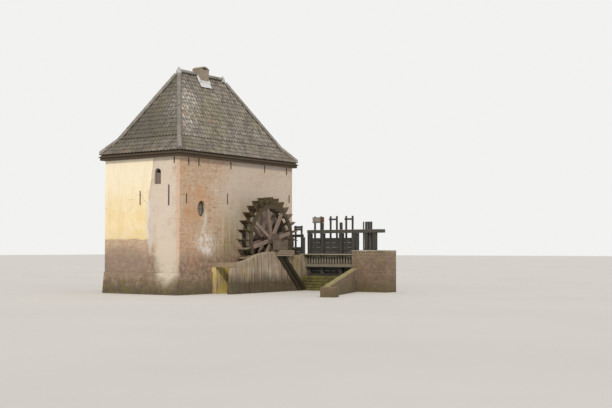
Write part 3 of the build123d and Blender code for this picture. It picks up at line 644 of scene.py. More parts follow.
def ridge_material():
    """Grey half-round clay caps bedded in lime mortar, a shade smoother than the tiles."""
    clay = Finish("grey_clay_ridge_cap", 0.75, "#7b7772")
    clay.coat("#8d8882", clay.tone)
    clay.coat("#9b968e", (90, 0.5, 0.62), 0.3)
    clay.coat("#b9b2a6", (35, 0.6, 0.66), 0.4)
    clay.coat("#66604c", (200, 0.52, 0.62, (1, 1, 1), 3.0), 0.5)
    return clay.done(((60, 0.2, 0.8), 0.004), ((8, 0.3, 0.7), 0.001))


def lead_material(name, bloom, dull):
    """Sheet lead dressed by hand and long oxidised: a pale bloom with dull grey runs, soft rather than shiny."""
    lead = Finish(name, 0.55, bloom)
    lead.coat(dull, (80,))
    lead.coat("#96979a", (30, 0.5, 0.65, (1, 1, 6)), 0.5)
    return lead.done(((70, 0.1, 0.9), 0.008))


def iron_material():
    """Wrought iron, forged and left to rust: nearly black with brown bloom and a scaly skin."""
    iron = Finish("rusted_wrought_iron", 0.8, "#3a302a")
    iron.coat("#5b4436", (60, 0.4, 0.6))
    iron.coat("#76503a", (18, 0.55, 0.65), 0.6)
    return iron.done(((20, 0.2, 0.8), 0.003))


def masonry_material(name, pale, dark, moss, damp_z, moss_share):
    """Cement-washed masonry that stands in water: streaked by lime, pink and ochre above, dark and mossy below."""
    wall = Finish(name, 0.85, pale)
    wall.coat(dark, (600,))
    wall.coat("#987a6e", (800, 0.48, 0.6, (1, 1, 1), 5.0), 0.6)
    wall.coat("#c4b9a8", (45, 0.5, 0.62, (1, 1, 16)), 0.75)
    wall.coat("#5e5344", (60, 0.5, 0.62, (1, 1, 12), 2.0), 0.7)
    wall.coat("#a08a54", (500, 0.5, 0.6, (1, 1, 1), 9.0), 0.6)
    wall.coat("#382d1a", wall.band(wall.ragged(500, 0.4), damp_z, damp_z - 0.55), 0.85)
    wall.coat(moss, (160, 0.45, 0.6), moss_share)
    wall.coat("#cfc7b4", (26, 0.63, 0.66), (400, 0.45, 0.6, (1, 1, 1), 4.0), 0.7)
    wall.coat("#b3a88f", wall.facing_up(0.4, 0.9), (150, 0.2, 0.6), 0.65)
    return wall.done(((150, 0.1, 0.9), 0.012), ((30, 0.2, 0.8), 0.005), ((6, 0.3, 0.7), 0.0015))


def stone_material(name, pale, dark, moss_share):
    """Sawn sandstone, weathered: warm and granular, with grey crust and some moss on top."""
    stone = Finish(name, 0.88, pale)
    stone.coat(dark, (300,))
    stone.coat("#8a7d6c", (60, 0.55, 0.65), 0.5)
    stone.coat("#6e6b40", stone.facing_up(), (110, 0.45, 0.6), moss_share)
    return stone.done(((40, 0.2, 0.8), 0.005), ((5, 0.3, 0.7), 0.001))


def glass_material():
    """Old crown glass, dull with dust and lime, so that the dark room hardly shows."""
    glass = Finish("dusty_window_glass", 0.28, "#6f665c")
    glass.coat("#8f867a", (160,))
    glass.coat("#5a5148", (30, 0.5, 0.65, (1, 1, 5)), 0.5)
    return glass.done(((120, 0, 1), 0.004))


# The oak of each timber: its pale and dark colours, its moss and the share of that, and what else sets it apart
OAKS = {
    "tarred_eaves_boards": ("#5b4b3b", "#37291f", "#4f4a30", 0.3, {"rain": False}),
    "wall_plate_oak": ("#7b6a54", "#4c3f30", "#565136", 0.0, {"along": 0, "rain": False}),
    "weathered_window_oak": ("#8b8072", "#5a5046", "#5f5d40", 0.2, {"along": 2, "rain": False}),
    "window_oak_darkened_as_shade": ("#5f5246", "#2f261f", "#4f4b33", 0.1, {"along": 2, "rain": False}),
    "weathered_boards": ("#8f8078", "#5d5049", "#5f5d40", 0.25, {"rain": False}),
    "shaded_slit_board": ("#75645d", "#4a3d38", "#57503a", 0.15, {"rain": False}),
    "floor_boards": ("#8a7860", "#5d4f3e", "#5f5d40", 0.0, {"along": 0, "rain": False}),
    "wet_oak_floats": ("#604e38", "#2a2015", "#554f2b", 0.5, {"rain": False, "roughness": 0.7, "top_sheen": 0.45}),
    "wet_oak_arms": ("#a38f84", "#66554b", "#55502f", 0.25, {"rain": False, "roughness": 0.75}),
    "mossed_rim_oak": ("#5f503c", "#2e251b", "#4f4b2a", 0.6, {"rain": False, "roughness": 0.75}),
    "axle_oak": ("#85736a", "#4d4039", "#55502f", 0.2, {"along": 1, "rain": False}),
    "bearing_block_oak": ("#85766a", "#51473e", "#5b5738", 0.35, {"along": 0}),
    "bleached_sleeper_oak": ("#a2927f", "#6f6152", "#5b5738", 0.3, {}),
    "limed_ledge_oak": ("#c9beaa", "#978b79", "#6b6744", 0.15, {}),
    "near_black_strut_oak": ("#3f3527", "#17130d", "#35351c", 0.4, {"rain": False, "roughness": 0.55}),
    "dark_weir_oak": ("#504e4a", "#232224", "#4a4a2f", 0.35, {}),
    "walked_weir_oak": ("#b3a692", "#73695b", "#6b6947", 0.2, {}),
    "damp_weir_oak": ("#948d7e", "#5f594c", "#605f38", 0.35, {}),
    "rubbed_weir_beam_oak_with_sheen": ("#5c5b54", "#32322f", "#4f4f30", 0.3, {"top_sheen": 0.2}),
    "reddened_crest_board": ("#7a5348", "#4a302a", "#5b5a3c", 0.15, {}),
    "mossy_sill_oak": ("#6a6038", "#352d1c", "#6b6a34", 0.8, {"rain": False}),
    "keeper_oak": ("#6d675c", "#35312b", "#57562f", 0.3, {"along": 2}),
    "silvered_head_board": ("#a39e96", "#6f6a63", "#5b5a3c", 0.12, {}),
}


def oak_material(name, pale, dark, moss, moss_share, along=None, rain=True, roughness=0.82, top_sheen=0.0):
    """Sawn oak left bare to water and sun: silvered between dark open checks, with moss where it stays wet, and where
    asked a painted sheen on its upward faces.
    """
    wood = Finish(name, roughness, dark)
    fibre = wood.grain
    if along is not None:
        axes = add_node(wood.tree, "ShaderNodeSeparateXYZ", {0: wood.place})
        fibre = add_node(wood.tree, "ShaderNodeCombineXYZ", {k: axes[(along + k) % 3] for k in range(3)})[0]
    # real fibre is finer than a millimetre and is drawn near ten, so that it shows
    fine = wood.cloud(12, 0.3, 0.7, (22, 1, 1), place=fibre, detail=6.0)
    checks = wood.cloud(26, 0.62, 0.68, (30, 1, 1), place=fibre)
    wood.coat(pale, fine)
    wood.coat(dark, wood.cloud(55, stretch=(9, 1, 1), place=fibre), 0.45)
    wood.coat(pale, wood.tone, 0.4)
    wood.coat("#1f1a14", checks, 0.75)
    wood.coat(moss, (130, 0.42, 0.6), moss_share, wood.facing_up(-0.2, 0.7) if rain else 1.0)
    # Painted highlight: faces turned up are paled as if lit from above
    if top_sheen:
        wood.coat("#c0b3a2", wood.facing_up(0.5, 0.9), top_sheen)
    return wood.done((fine, 0.004), (wood.band(checks, 1.0, 0.0), 0.004), ((90, 0, 1), 0.006))


def oak(name):
    """The finish of a timber, made once."""
    *colours, extra = OAKS[name]
    return bpy.data.materials.get(name) or oak_material(name, *colours, **extra)


# ---------------------------------------------------------------- settings


def metres(name, description, default):
    """A setting in metres."""
    return FloatProperty(name=name, description=description, default=default, unit="LENGTH")


def tint(name, description, default):
    """A setting that is a colour."""
    return FloatVectorProperty(name=name, description=description, default=linear(default), size=4, min=0, max=1,
                               subtype="COLOR")


class BrickSettings(bpy.types.PropertyGroup):
    length: metres("Length", "Length of a brick", 0.21)
    height: metres("Height", "Height of a brick", 0.056)
    joint: metres("Joint", "Width of the mortar joints", 0.011)
    proud: metres("Relief", "How far a brick stands out of its joints", 0.006)
    warm: tint("Warm brick", "Colour of the warmest bricks", "#bf9373")
    pale: tint("Pale brick", "Colour of the palest bricks", "#ccb399")
    mortar: tint("Mortar", "Colour of the lime mortar", "#d0c6b2")


class RoofSettings(bpy.types.PropertyGroup):
    tile_width: metres("Tile width", "Width that one pantile covers", 0.205)
    tile_length: metres("Tile length", "Length of a pantile left in view", 0.25)
    wave: metres("Wave", "Depth of a pantile's hollow", 0.032)
    thickness: metres("Thickness", "Thickness of a tile", 0.016)
    cap_length: metres("Cap length", "Length of a hip or ridge cap in view", 0.33)
    cap_radius: metres("Cap radius", "Outer radius of a hip or ridge cap", 0.115)
    dark: tint("Dark tile", "Colour of the darkest tiles", "#544f52")
    pale: tint("Pale tile", "Colour of the palest tiles", "#a49e90")


class TimberSettings(bpy.types.PropertyGroup):
    wear: metres("Wear", "How far the arrises of the wheel's timbers are worn", 0.008)
    gap: metres("Gap", "Gap between boards", 0.005)
    leaf_planks: IntProperty(name="Planks in a leaf", description="Planks that make up a gate's leaf", default=8)
    seed: IntProperty(name="Seed", description="Picks another set of tones and wear for the wheel", default=7)


class MasonrySettings(bpy.types.PropertyGroup):
    unevenness: metres("Unevenness", "Depth of the hollows in the rendered race wall", 0.022)
    cell: metres("Cell", "Size of the faces of the uneven surfaces", 0.07)


class StageSettings(bpy.types.PropertyGroup):
    floor: tint("Floor", "Colour of the floor", "#dcdad5")
    key: FloatProperty(name="Key light", description="Strength of the main light", default=2.1)
    fill: FloatProperty(name="Fill light", description="Strength of the light from all round", default=0.55)
    lens: FloatProperty(name="Lens", description="Focal length of the camera in millimetres", default=59.5)


# ---------------------------------------------------------------- operators


class WATERMILL_OT_brickwork(bpy.types.Operator):
    """Lays the bricks of the walls, the plinth, the splayed foot and the rings round the oval windows"""
    bl_idname = "watermill.brickwork"
    bl_label = "Brickwork"

    def execute(self, context):
        settings, rng = context.scene.watermill_brick, random.Random(11)
        bricks, mortar = brick_material(settings), mortar_material(settings)
        for node in ("wheel_side_wall", "downstream_wall", "land_side_wall", "upstream_wall", "splayed_foot",
                     "oculus_surrounds"):
            dress(node, mortar)
        long, wide = X_UP - X_DOWN, Y_BACK - Y_FACE
        lining_low, lining_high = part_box("race_lining")

        side = Brickwork(rng, settings)
        place = face_frame((X_DOWN, Y_FACE, 0), (1, 0, 0))
        centre = (OCULUS_U, OCULUS_Z["wheel_side"])
        side.courses(place, long, SOFFIT_Z, [
            oval_chord(*centre, *OCULUS_RINGS[1]), oval_chord(-X_DOWN, AXLE_Z, HOLE_R, HOLE_R),
            lambda v0, v1: (lining_low.x - X_DOWN, lining_high.x - X_DOWN) if v1 < lining_high.z + 0.03 else None],
            foot=PLINTH_Z)
        side.ring(place, centre, *OCULUS_RINGS)
        for x0, x1 in ((X_DOWN - PLINTH_OUT, lining_low.x), (lining_high.x, X_UP)):
            side.courses(face_frame((x0, Y_FACE - PLINTH_OUT, 0), (1, 0, 0)), x1 - x0, PLINTH_Z - 0.004)
        side.finish("bricks_wheel_side", bricks, "brick")

        end = Brickwork(rng, settings)
        coat_z, coat_y = plaster_edge()

        def under_plaster(v0, v1):
            if v1 < coat_z[0] + 0.1 or v0 > coat_z[-1]:
                return None
            return -1.0, Y_BACK - float(np.interp((v0 + v1) / 2, coat_z, coat_y)) - 0.12
        end.courses(face_frame((X_DOWN, Y_BACK, 0), (0, -1, 0)), wide, SOFFIT_Z,
                    [under_plaster, arch_chord(Y_BACK - LANCET_Y, *LANCET), arch_chord(Y_BACK - SLIT_Y, *SLIT)],
                    foot=PLINTH_Z)
        lean = (SPLAY_OUT - PLINTH_OUT) / PLINTH_Z
        end.courses(face_frame((X_DOWN - SPLAY_OUT, Y_BACK, 0), (0, -1, 0), (lean, 0, 1)), wide,
                    PLINTH_Z * math.hypot(1, lean))
        end.finish("bricks_downstream", bricks, "brick")

        land = Brickwork(rng, settings)
        place = face_frame((X_UP, Y_BACK, 0), (-1, 0, 0))
        centre = (long - OCULUS_U, OCULUS_Z["land_side"])
        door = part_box("door_frame")
        door_u = (X_UP - door[1].x, X_UP - door[0].x)
        land.courses(place, long, SOFFIT_Z, [
            oval_chord(*centre, *OCULUS_RINGS[1]),
            lambda v0, v1: door_u if v1 > door[0].z and v0 < door[1].z + 0.23 else None])
        land.ring(place, centre, *OCULUS_RINGS)
        low_v, pitch = door[1].z + SOLDIER_JOINT, (door_u[1] - door_u[0]) / SOLDIERS
        high_v = low_v + SOLDIER_TALL
        for i in range(SOLDIERS):
            u0, u1 = door_u[0] + i * pitch + SOLDIER_JOINT, door_u[0] + (i + 1) * pitch - SOLDIER_JOINT
            land.brick(place, [(u0, low_v), (u1, low_v), (u1, high_v), (u0, high_v)])
        land.finish("bricks_land_side", bricks, "brick")

        far = Brickwork(rng, settings)
        far.courses(face_frame((X_UP, Y_FACE, 0), (0, 1, 0)), wide, SOFFIT_Z, [arch_chord(wide / 2, *LANCET)])
        far.finish("bricks_upstream", bricks, "brick")
        return {"FINISHED"}


def plaster_edge():
    """Heights of the plaster's near edge and where it is at each."""
    near = {}
    for _, y, z in solids_of("plaster_coat")[0]:
        z = round(float(z), 3)
        near[z] = min(near.get(z, 99.0), float(y))
    heights = sorted(near)
    return heights, [near[z] for z in heights]


class WATERMILL_OT_plaster(bpy.types.Operator):
    """Spreads the plaster over the downstream wall, uneven and with a broken edge"""
    bl_idname = "watermill.plaster"
    bl_label = "Plaster"

    def execute(self, context):
        cell = context.scene.watermill_masonry.cell
        low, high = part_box("plaster_coat")
        heights, edge = plaster_edge()
        rows, columns = int((high.z - low.z) / cell), int((high.y - low.y) / cell)
        front, back = [], []
        for j in range(rows + 1):
            z = low.z + (high.z - low.z) * j / rows
            near = float(np.interp(z, heights, edge))
            near += 0.05 * (1 + noise.fractal(Vector((z * 2.2, 3.7, 0)), 1.0, 2.0, 5))
            front.append([])
            back.append([])
            for i in range(columns + 1):
                y = near + (high.y - near) * i / columns
                foot = 0.05 * (1 + noise.noise(Vector((y * 1.7, 8, 0)))) if j == 0 else 0.0
                swell = 0.004 * (1 + noise.noise(Vector((y * 1.1, z * 1.1, 2))))
                edge_fall = 0.010 if i == 0 or j == 0 else 0.0
                front[-1].insert(0, Vector((low.x + swell + edge_fall, y, z + foot)))
                back[-1].append(Vector((high.x, y, z + foot)))
        shape = Shape()
        for rows in (front, back, [back[0], front[0][::-1]], [[row[-1] for row in front], [row[0] for row in back]],
                     [[row[-1] for row in back], [row[0] for row in front]]):
            shape.strip(rows)
        shape.finish("plaster_coat_worn", plaster_material(), "plaster", "plaster_coat", smooth=40)
        return {"FINISHED"}


def roof_sides():
    """Each slope: node, eave corners, kick corners and top corners, in order from outside left to right."""
    def ring(out, z):
        return [Vector((x, y, z)) for x, y in ((X_DOWN - out, Y_FACE - out), (X_UP + out, Y_FACE - out),
                                               (X_UP + out, Y_BACK + out), (X_DOWN - out, Y_BACK + out))]
    eave, kick = ring(EAVE_OUT, EAVE_Z), ring(EAVE_OUT - KICK_RUN, KICK_Z)
    near, far = (Vector((x, Y_MID, RIDGE_Z)) for x in (RIDGE_X0, RIDGE_X1))
    tops = [(near, far), (far, far), (far, near), (near, near)]
    names = ("roof_wheel_side", "roof_upstream", "roof_land_side", "roof_downstream")
    return [(name, eave[i], eave[(i + 1) % 4], kick[i], kick[(i + 1) % 4], *tops[i])
            for i, name in enumerate(names)]


def lay_tiles(shape, settings, low_left, low_right, top_left, top_right, parts=8):
    """Rows of pantiles over a slope with level edges, their crests in its plane, trimmed at the hips."""
    rng, width = shape.rng, settings.tile_width
    along = (low_right - low_left).normalized()
    span = (low_right - low_left).length
    left_top, right_top = (top_left - low_left).dot(along), (top_right - low_left).dot(along)
    up = top_left - low_left - along * left_top
    climb = up.length
    up.normalize()
    out = along.cross(up)
    rows = max(1, round(climb / settings.tile_length))
    exposed = climb / rows
    for row in range(rows):
        foot, head = row * exposed, min(row * exposed + exposed + TILE_LAP, climb)
        ends = [(left_top * s / climb, span + (right_top - span) * s / climb) for s in (foot, head)]
        shift = rng.uniform(-0.01, 0.01)
        for column in range(-1, int(span / width) + 2):
            u0 = column * width + shift
            if u0 + width <= ends[0][0] or u0 >= ends[0][1]:
                continue
            tilt, sink, slip = (rng.uniform(least, 0.0) for least in (-0.006, -0.006, -0.009))
            lines, dips = ([], []), ([], [])
            for i in range(parts + 1):
                for upper, s in enumerate((foot + (slip if row else 0.0), head)):
                    u = min(max(u0 + i / parts * width, ends[upper][0]), ends[upper][1])
                    share = (u - u0) / width
                    roll = 0.5 - 0.5 * math.cos(2 * math.pi * (share - TILE_CREST))
                    z = -settings.wave * roll ** 0.85 - 0.010 * (1 - share) + tilt * share + sink - TILE_TUCK * upper
                    lines[upper].append(low_left + along * u + up * s + out * z)
                    dips[upper].append((roll, upper, 0.0))
            under = out * settings.thickness
            corners = lines[0] + lines[1] + [p - under for p in lines[0]] + [lines[1][-1] - under]
            n = parts + 1
            faces = [(n - 1, 3 * n - 1, 3 * n, 2 * n - 1)]
            for i in range(parts):
                low_side, top_side = ((corners[k] - corners[k + 1]).length for k in (i, n + i))
                if low_side + top_side < 1e-4:
                    continue
                # a tile cut to a point by the hip has one corner less
                point = i + 1 if low_side < 1e-5 else n + i + 1 if top_side < 1e-5 else None
                faces.append(tuple(k for k in (i, i + 1, n + i + 1, n + i) if k != point))
                if low_side > 1e-5:
                    faces.append((2 * n + i, 2 * n + i + 1, i + 1, i))
            if len(faces) > 1:
                shape.add(corners, faces, 0.98 if rng.random() < 0.006 else rng.uniform(0.1, 0.9),
                          dips[0] + dips[1] + dips[0] + dips[1][-1:])


class WATERMILL_OT_pantiles(bpy.types.Operator):
    """Hangs the pantiles over the boarding of the four slopes"""
    bl_idname = "watermill.pantiles"
    bl_label = "Pantiles"

    def execute(self, context):
        settings, rng = context.scene.watermill_roof, random.Random(23)
        clay, deck = pantile_material(settings), Shape()
        for name, eave_l, eave_r, kick_l, kick_r, top_l, top_r in roof_sides():
            shape = Shape(rng)
            for ring in ([eave_l, eave_r, kick_r, kick_l], [kick_l, kick_r, top_r, top_l]):
                lay_tiles(shape, settings, ring[0], ring[1], ring[3], ring[2])
                ring = [p for i, p in enumerate(ring) if (p - ring[i - 1]).length > 1e-6]
                deck.prism(*([p - UP * drop for p in ring] for drop in BOARDING))
            shape.finish(name.replace("roof", "pantiles"), clay, "roof_tile", name, smooth=50)
        deck.finish("roof_boarding", oak("tarred_eaves_boards"), "eaves_wood")
        return {"FINISHED"}


def lay_caps(shape, start, end, settings, lap, parts=10):
    """A row of half-round caps, each wider at its lower end, where it laps over the one below and shows its edge."""
    count = max(1, round((end - start).length / settings.cap_length))
    for k in range(count):
        low, high = start.lerp(end, k / count), start.lerp(end, min(1.0, (k + lap) / count))
        axis = (high - low).normalized()
        rise = axis.cross(UP.cross(axis).normalized())
        rise = rise if rise.z > 0 else -rise
        side = rise.cross(axis)
        drop, radius = shape.rng.uniform(0.0, 0.004), settings.cap_radius
        angles = [math.radians(90 - CAP_SPREAD + 2 * CAP_SPREAD * i / parts) for i in range(parts + 1)]
        n = parts + 1
        faces = [(i, i + 1, n + i + 1, n + i) for i in range(parts)]
        faces += [(2 * n + i, 2 * n + i + 1, i + 1, i) for i in range(parts)]
        shape.add([centre + (side * math.cos(t) + rise * math.sin(t)) * (r - drop)
                   for centre, r in ((low, radius), (high, radius - CAP_TAPER), (low, radius - CAP_T))
                   for t in angles], faces, shape.rng.random())


class WATERMILL_OT_ridge_tiles(bpy.types.Operator):
    """Beds the half-round caps on the hips and the ridge"""
    bl_idname = "watermill.ridge_tiles"
    bl_label = "Hip and ridge caps"

    def execute(self, context):
        settings, rng = context.scene.watermill_roof, random.Random(5)
        clay, radius = ridge_material(), settings.cap_radius
        hips, ridge = Shape(rng), Shape(rng)
        for _, eave, _, kick, _, top, _ in roof_sides():
            start = eave + (kick - eave).normalized() * radius - CAP_SUNK
            stop = top - (top - kick).normalized() * HIP_SHORT - CAP_SUNK
            kick = kick - CAP_SUNK
            # mortar closes the open end of the lowest cap
            axis = (kick - start).normalized()
            side = UP.cross(axis).normalized()
            hips.prism(*(circle(start + axis * run, side, axis.cross(side), radius - 0.02, 12)
                         for run in (0.01, 0.04)), 0.7)
            lay_caps(hips, start, kick, settings, 1.12)
            lay_caps(hips, kick, stop, settings, 1.12)
        hips.finish("hip_caps_bedded", clay, "ridge_tile", "hip_caps", smooth=50)
        ends = (Vector((x, Y_MID, RIDGE_Z)) - CAP_SUNK / 2 for x in (RIDGE_X1, RIDGE_X0))
        lay_caps(ridge, *ends, settings, 1.1)
        ridge.finish("ridge_caps_bedded", clay, "ridge_tile", "ridge_cap", smooth=50)
        return {"FINISHED"}


class WATERMILL_OT_leadwork(bpy.types.Operator):
    """Dresses the lead cones on the ridge's ends and the lead at the chimney's foot"""
    bl_idname = "watermill.leadwork"
    bl_label = "Leadwork"

    def execute(self, context):
        lead = lead_material("oxidised_sheet_lead", "#e4e6ea", "#cacccf")
        cones = Shape()
        for x in (RIDGE_X0, RIDGE_X1):
            rows = []
            for r, z in CONE:
                rows.append([])
                for angle in (2 * math.pi * i / 16 for i in range(17)):
                    c, s = math.cos(angle), math.sin(angle)
                    dent = 1 - 0.05 * (1 + noise.noise(Vector((c * 1.4 + x, s * 1.4, z * 9))))
                    rows[-1].append(Vector((x + r * dent * c, Y_MID + r * dent * s, RIDGE_Z + z)))
            cones.strip(rows)
        cones.finish("lead_cones", lead_material("weathered_cone_lead", "#bec4c2", "#9fa5a3"), "lead", "finials",
                     smooth=60)
        dress("chimney_lead", lead)

        low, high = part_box("chimney_stack")
        climb = (RIDGE_Z - KICK_Z) / (Y_MID - (Y_FACE - EAVE_OUT + KICK_RUN))
        down = Vector((0, -1, -climb)).normalized()
        out = Vector((0, down.z, -down.y))
        foot_z = RIDGE_Z - (Y_MID - low.y) * climb
        apron = Shape()
        for way, face_y in ((1, low.y), (-1, high.y)):
            turn = Matrix.Diagonal((1, way, 1))

            def dressed(x, run, lift):
                """A point beside the chimney, so far down the slope and so far out of it."""
                return Vector((x, face_y, foot_z)) + turn @ (down * run + out * lift)
            upstand = [[Vector((low.x - 0.012 + (high.x - low.x + 0.024) * i / 6, face_y - way * 0.014, foot_z + rise))
                        for i in range(7)] for rise in (APRON_UPSTAND, 0.0)]
            apron.sheet(upstand, Vector((0, way * 0.01, 0)))
            grid = []
            for j in range(8):
                run = APRON_RUN * j / 7
                grid.append([])
                for i in range(19):
                    x = low.x - 0.06 + (high.x - low.x + 0.15) * i / 18
                    wave = 0.5 + 0.5 * math.cos(2 * math.pi * x / 0.205)
                    lift = 0.014 + 0.012 * wave * j / 7 + 0.006 * noise.noise(Vector((x * 7, run * 9, way)))
                    hem = 0.03 * noise.noise(Vector((x * 4, 1, way))) if j == 7 else 0.0
                    grid[-1].append(dressed(x, run - hem, lift))
            apron.sheet(grid, turn @ (out * -0.006))
            for x, side in ((low.x, -1), (high.x, 1)):
                for inner, outer, lift in ((0.0, 0.08, 0.016), (0.004, 0.012, 0.11)):
                    runs = [(Y_MID - low.y) / down.y * j / 8 for j in range(9)]
                    apron.sheet([[dressed(x + side * inner, run, 0.012), dressed(x + side * outer, run, lift)]
                                 for run in runs], Vector((side * -0.003, 0, -0.004)))
        apron.finish("chimney_lead_apron", lead, "lead")
        return {"FINISHED"}


class WATERMILL_OT_chimney(bpy.types.Operator):
    """Lays the bricks of the chimney and finishes its vaulted cap"""
    bl_idname = "watermill.chimney"
    bl_label = "Chimney"

    def execute(self, context):
        low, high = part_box("chimney_stack")
        dress("chimney_stack", bpy.data.materials["lime_mortar"])
        shape = Brickwork(random.Random(31), context.scene.watermill_brick)
        shape.round_block(corners_of(low, high), high.z - low.z)
        # The chimney's brick is greyer and darker than the house's, partly as painted shade
        bricks = dark_brick_material("grey_dark_chimney_brick", "#8b7a6d", "#a29183", "#746a60", "#857a70")
        shape.finish("bricks_chimney", bricks, "brick")
        dress("chimney_cap", stone_material("rendered_chimney_cap", "#a09483", "#8b8072", 0.5), bevel=0.012)
        return {"FINISHED"}


class WATERMILL_OT_eaves(bpy.types.Operator):
    """Boards the eaves round the house"""
    bl_idname = "watermill.eaves"
    bl_label = "Eaves"

    def execute(self, context):
        low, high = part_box("eaves")
        gap = context.scene.watermill_timber.gap
        shape = Shape(random.Random(41))
        mid_z, inset = low.z + EAVES_JOINT, Vector((EAVES_T, EAVES_T, 0))
        inner_low, inner_high = low + inset, high - inset
        for z0, z1 in ((low.z, mid_z - gap), (mid_z, high.z)):
            for y0, y1 in ((low.y, inner_low.y), (inner_high.y, high.y)):
                shape.planks((low.x, y0, z0), (high.x, y1, z1), 0, 0, 3, gap, worn=0.004)
            for x0, x1 in ((low.x, inner_low.x), (inner_high.x, high.x)):
                shape.planks((x0, inner_low.y, z0), (x1, inner_high.y, z1), 1, 1, 2, gap, worn=0.004)
        z0, z1 = low.z, low.z + EAVES_T
        for y0, y1 in ((inner_low.y, Y_FACE), (Y_BACK, inner_high.y)):
            shape.planks((inner_low.x, y0, z0), (inner_high.x, y1, z1), 0, 0, 3, gap, worn=0.003)
        for x0, x1 in ((inner_low.x, X_DOWN), (X_UP, inner_high.x)):
            shape.planks((x0, Y_FACE, z0), (x1, Y_BACK, z1), 1, 1, 2, gap, worn=0.003)
        shape.finish("eaves_boards", oak("tarred_eaves_boards"), "eaves_wood", "eaves")
        dress("wall_plates", oak("wall_plate_oak"))
        return {"FINISHED"}


class WATERMILL_OT_windows(bpy.types.Operator):
    """Glazes the oval windows, boards the arched windows and hangs the door"""
    bl_idname = "watermill.windows"
    bl_label = "Windows and door"

    def execute(self, context):
        rng, gap = random.Random(47), context.scene.watermill_timber.gap
        # The oval windows' frames are darkened to stand for the shade in their reveals, as painted shade
        for node, finish in (("arched_window_frames", "weathered_window_oak"), ("door_frame", "weathered_window_oak"),
                             ("oculus_frames", "window_oak_darkened_as_shade")):
            dress(node, oak(finish), bevel=0.004)
        panes = Shape()
        for y, z in ((Y_FACE + PANE_DEEP, OCULUS_Z["wheel_side"]), (Y_BACK - PANE_DEEP, OCULUS_Z["land_side"])):
            panes.prism(*(circle(Vector((X_DOWN + OCULUS_U, y + side, z)), PANE_WIDE, PANE_TALL, 1, 30)
                          for side in (-PANE_T / 2, PANE_T / 2)))
        panes.finish("oculus_panes", glass_material(), "grey_wood")
        shutters, slit, leaf, straps = (Shape(rng) for _ in range(4))
        for x, y in ((X_DOWN + 0.05, LANCET_Y), (X_UP - 0.075, Y_MID)):
            shutters.planks((x, y - SHUTTER_HALF, SHUTTER_Z[0]), (x + 0.025, y + SHUTTER_HALF, SHUTTER_Z[1]),
                            2, 1, 3, gap, worn=0.003)
        shutters.finish("window_boards", oak("weathered_boards"), "grey_wood")
        slit.board((X_DOWN + 0.02, SLIT_Y - SLIT_HALF, SLIT_Z[0]), (X_DOWN + 0.05, SLIT_Y + SLIT_HALF, SLIT_Z[1]),
                   2, worn=0.003, tone=0.0)
        slit.finish("slit_board", oak("shaded_slit_board"), "grey_wood")
        low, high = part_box("door_leaf")
        leaf.planks(low, (high.x, high.y - 0.006, high.z), 2, 0, 6, worn=0.004)
        leaf.finish("door_planks", oak("weathered_boards"), "grey_wood", "door_leaf")
        for z in (low.z + 0.3, high.z - 0.35):
            straps.board((low.x + 0.02, high.y - 0.008, z), (high.x - 0.12, high.y, z + 0.05), 0, worn=0.002)
        straps.finish("door_hinge_straps", iron_material(), "iron")
        dress("mill_floor", oak("floor_boards"))
        return {"FINISHED"}


class WATERMILL_OT_ironwork(bpy.types.Operator):
    """Rusts the wall anchors, the gudgeons and the hoops of the axle"""
    bl_idname = "watermill.ironwork"
    bl_label = "Ironwork"

    def execute(self, context):
        for node, bevel in (("wall_anchors", 0.006), ("gudgeons", 0.006), ("axle_hoops", 0.0)):
            dress(node, bpy.data.materials["rusted_wrought_iron"], bevel)
        return {"FINISHED"}


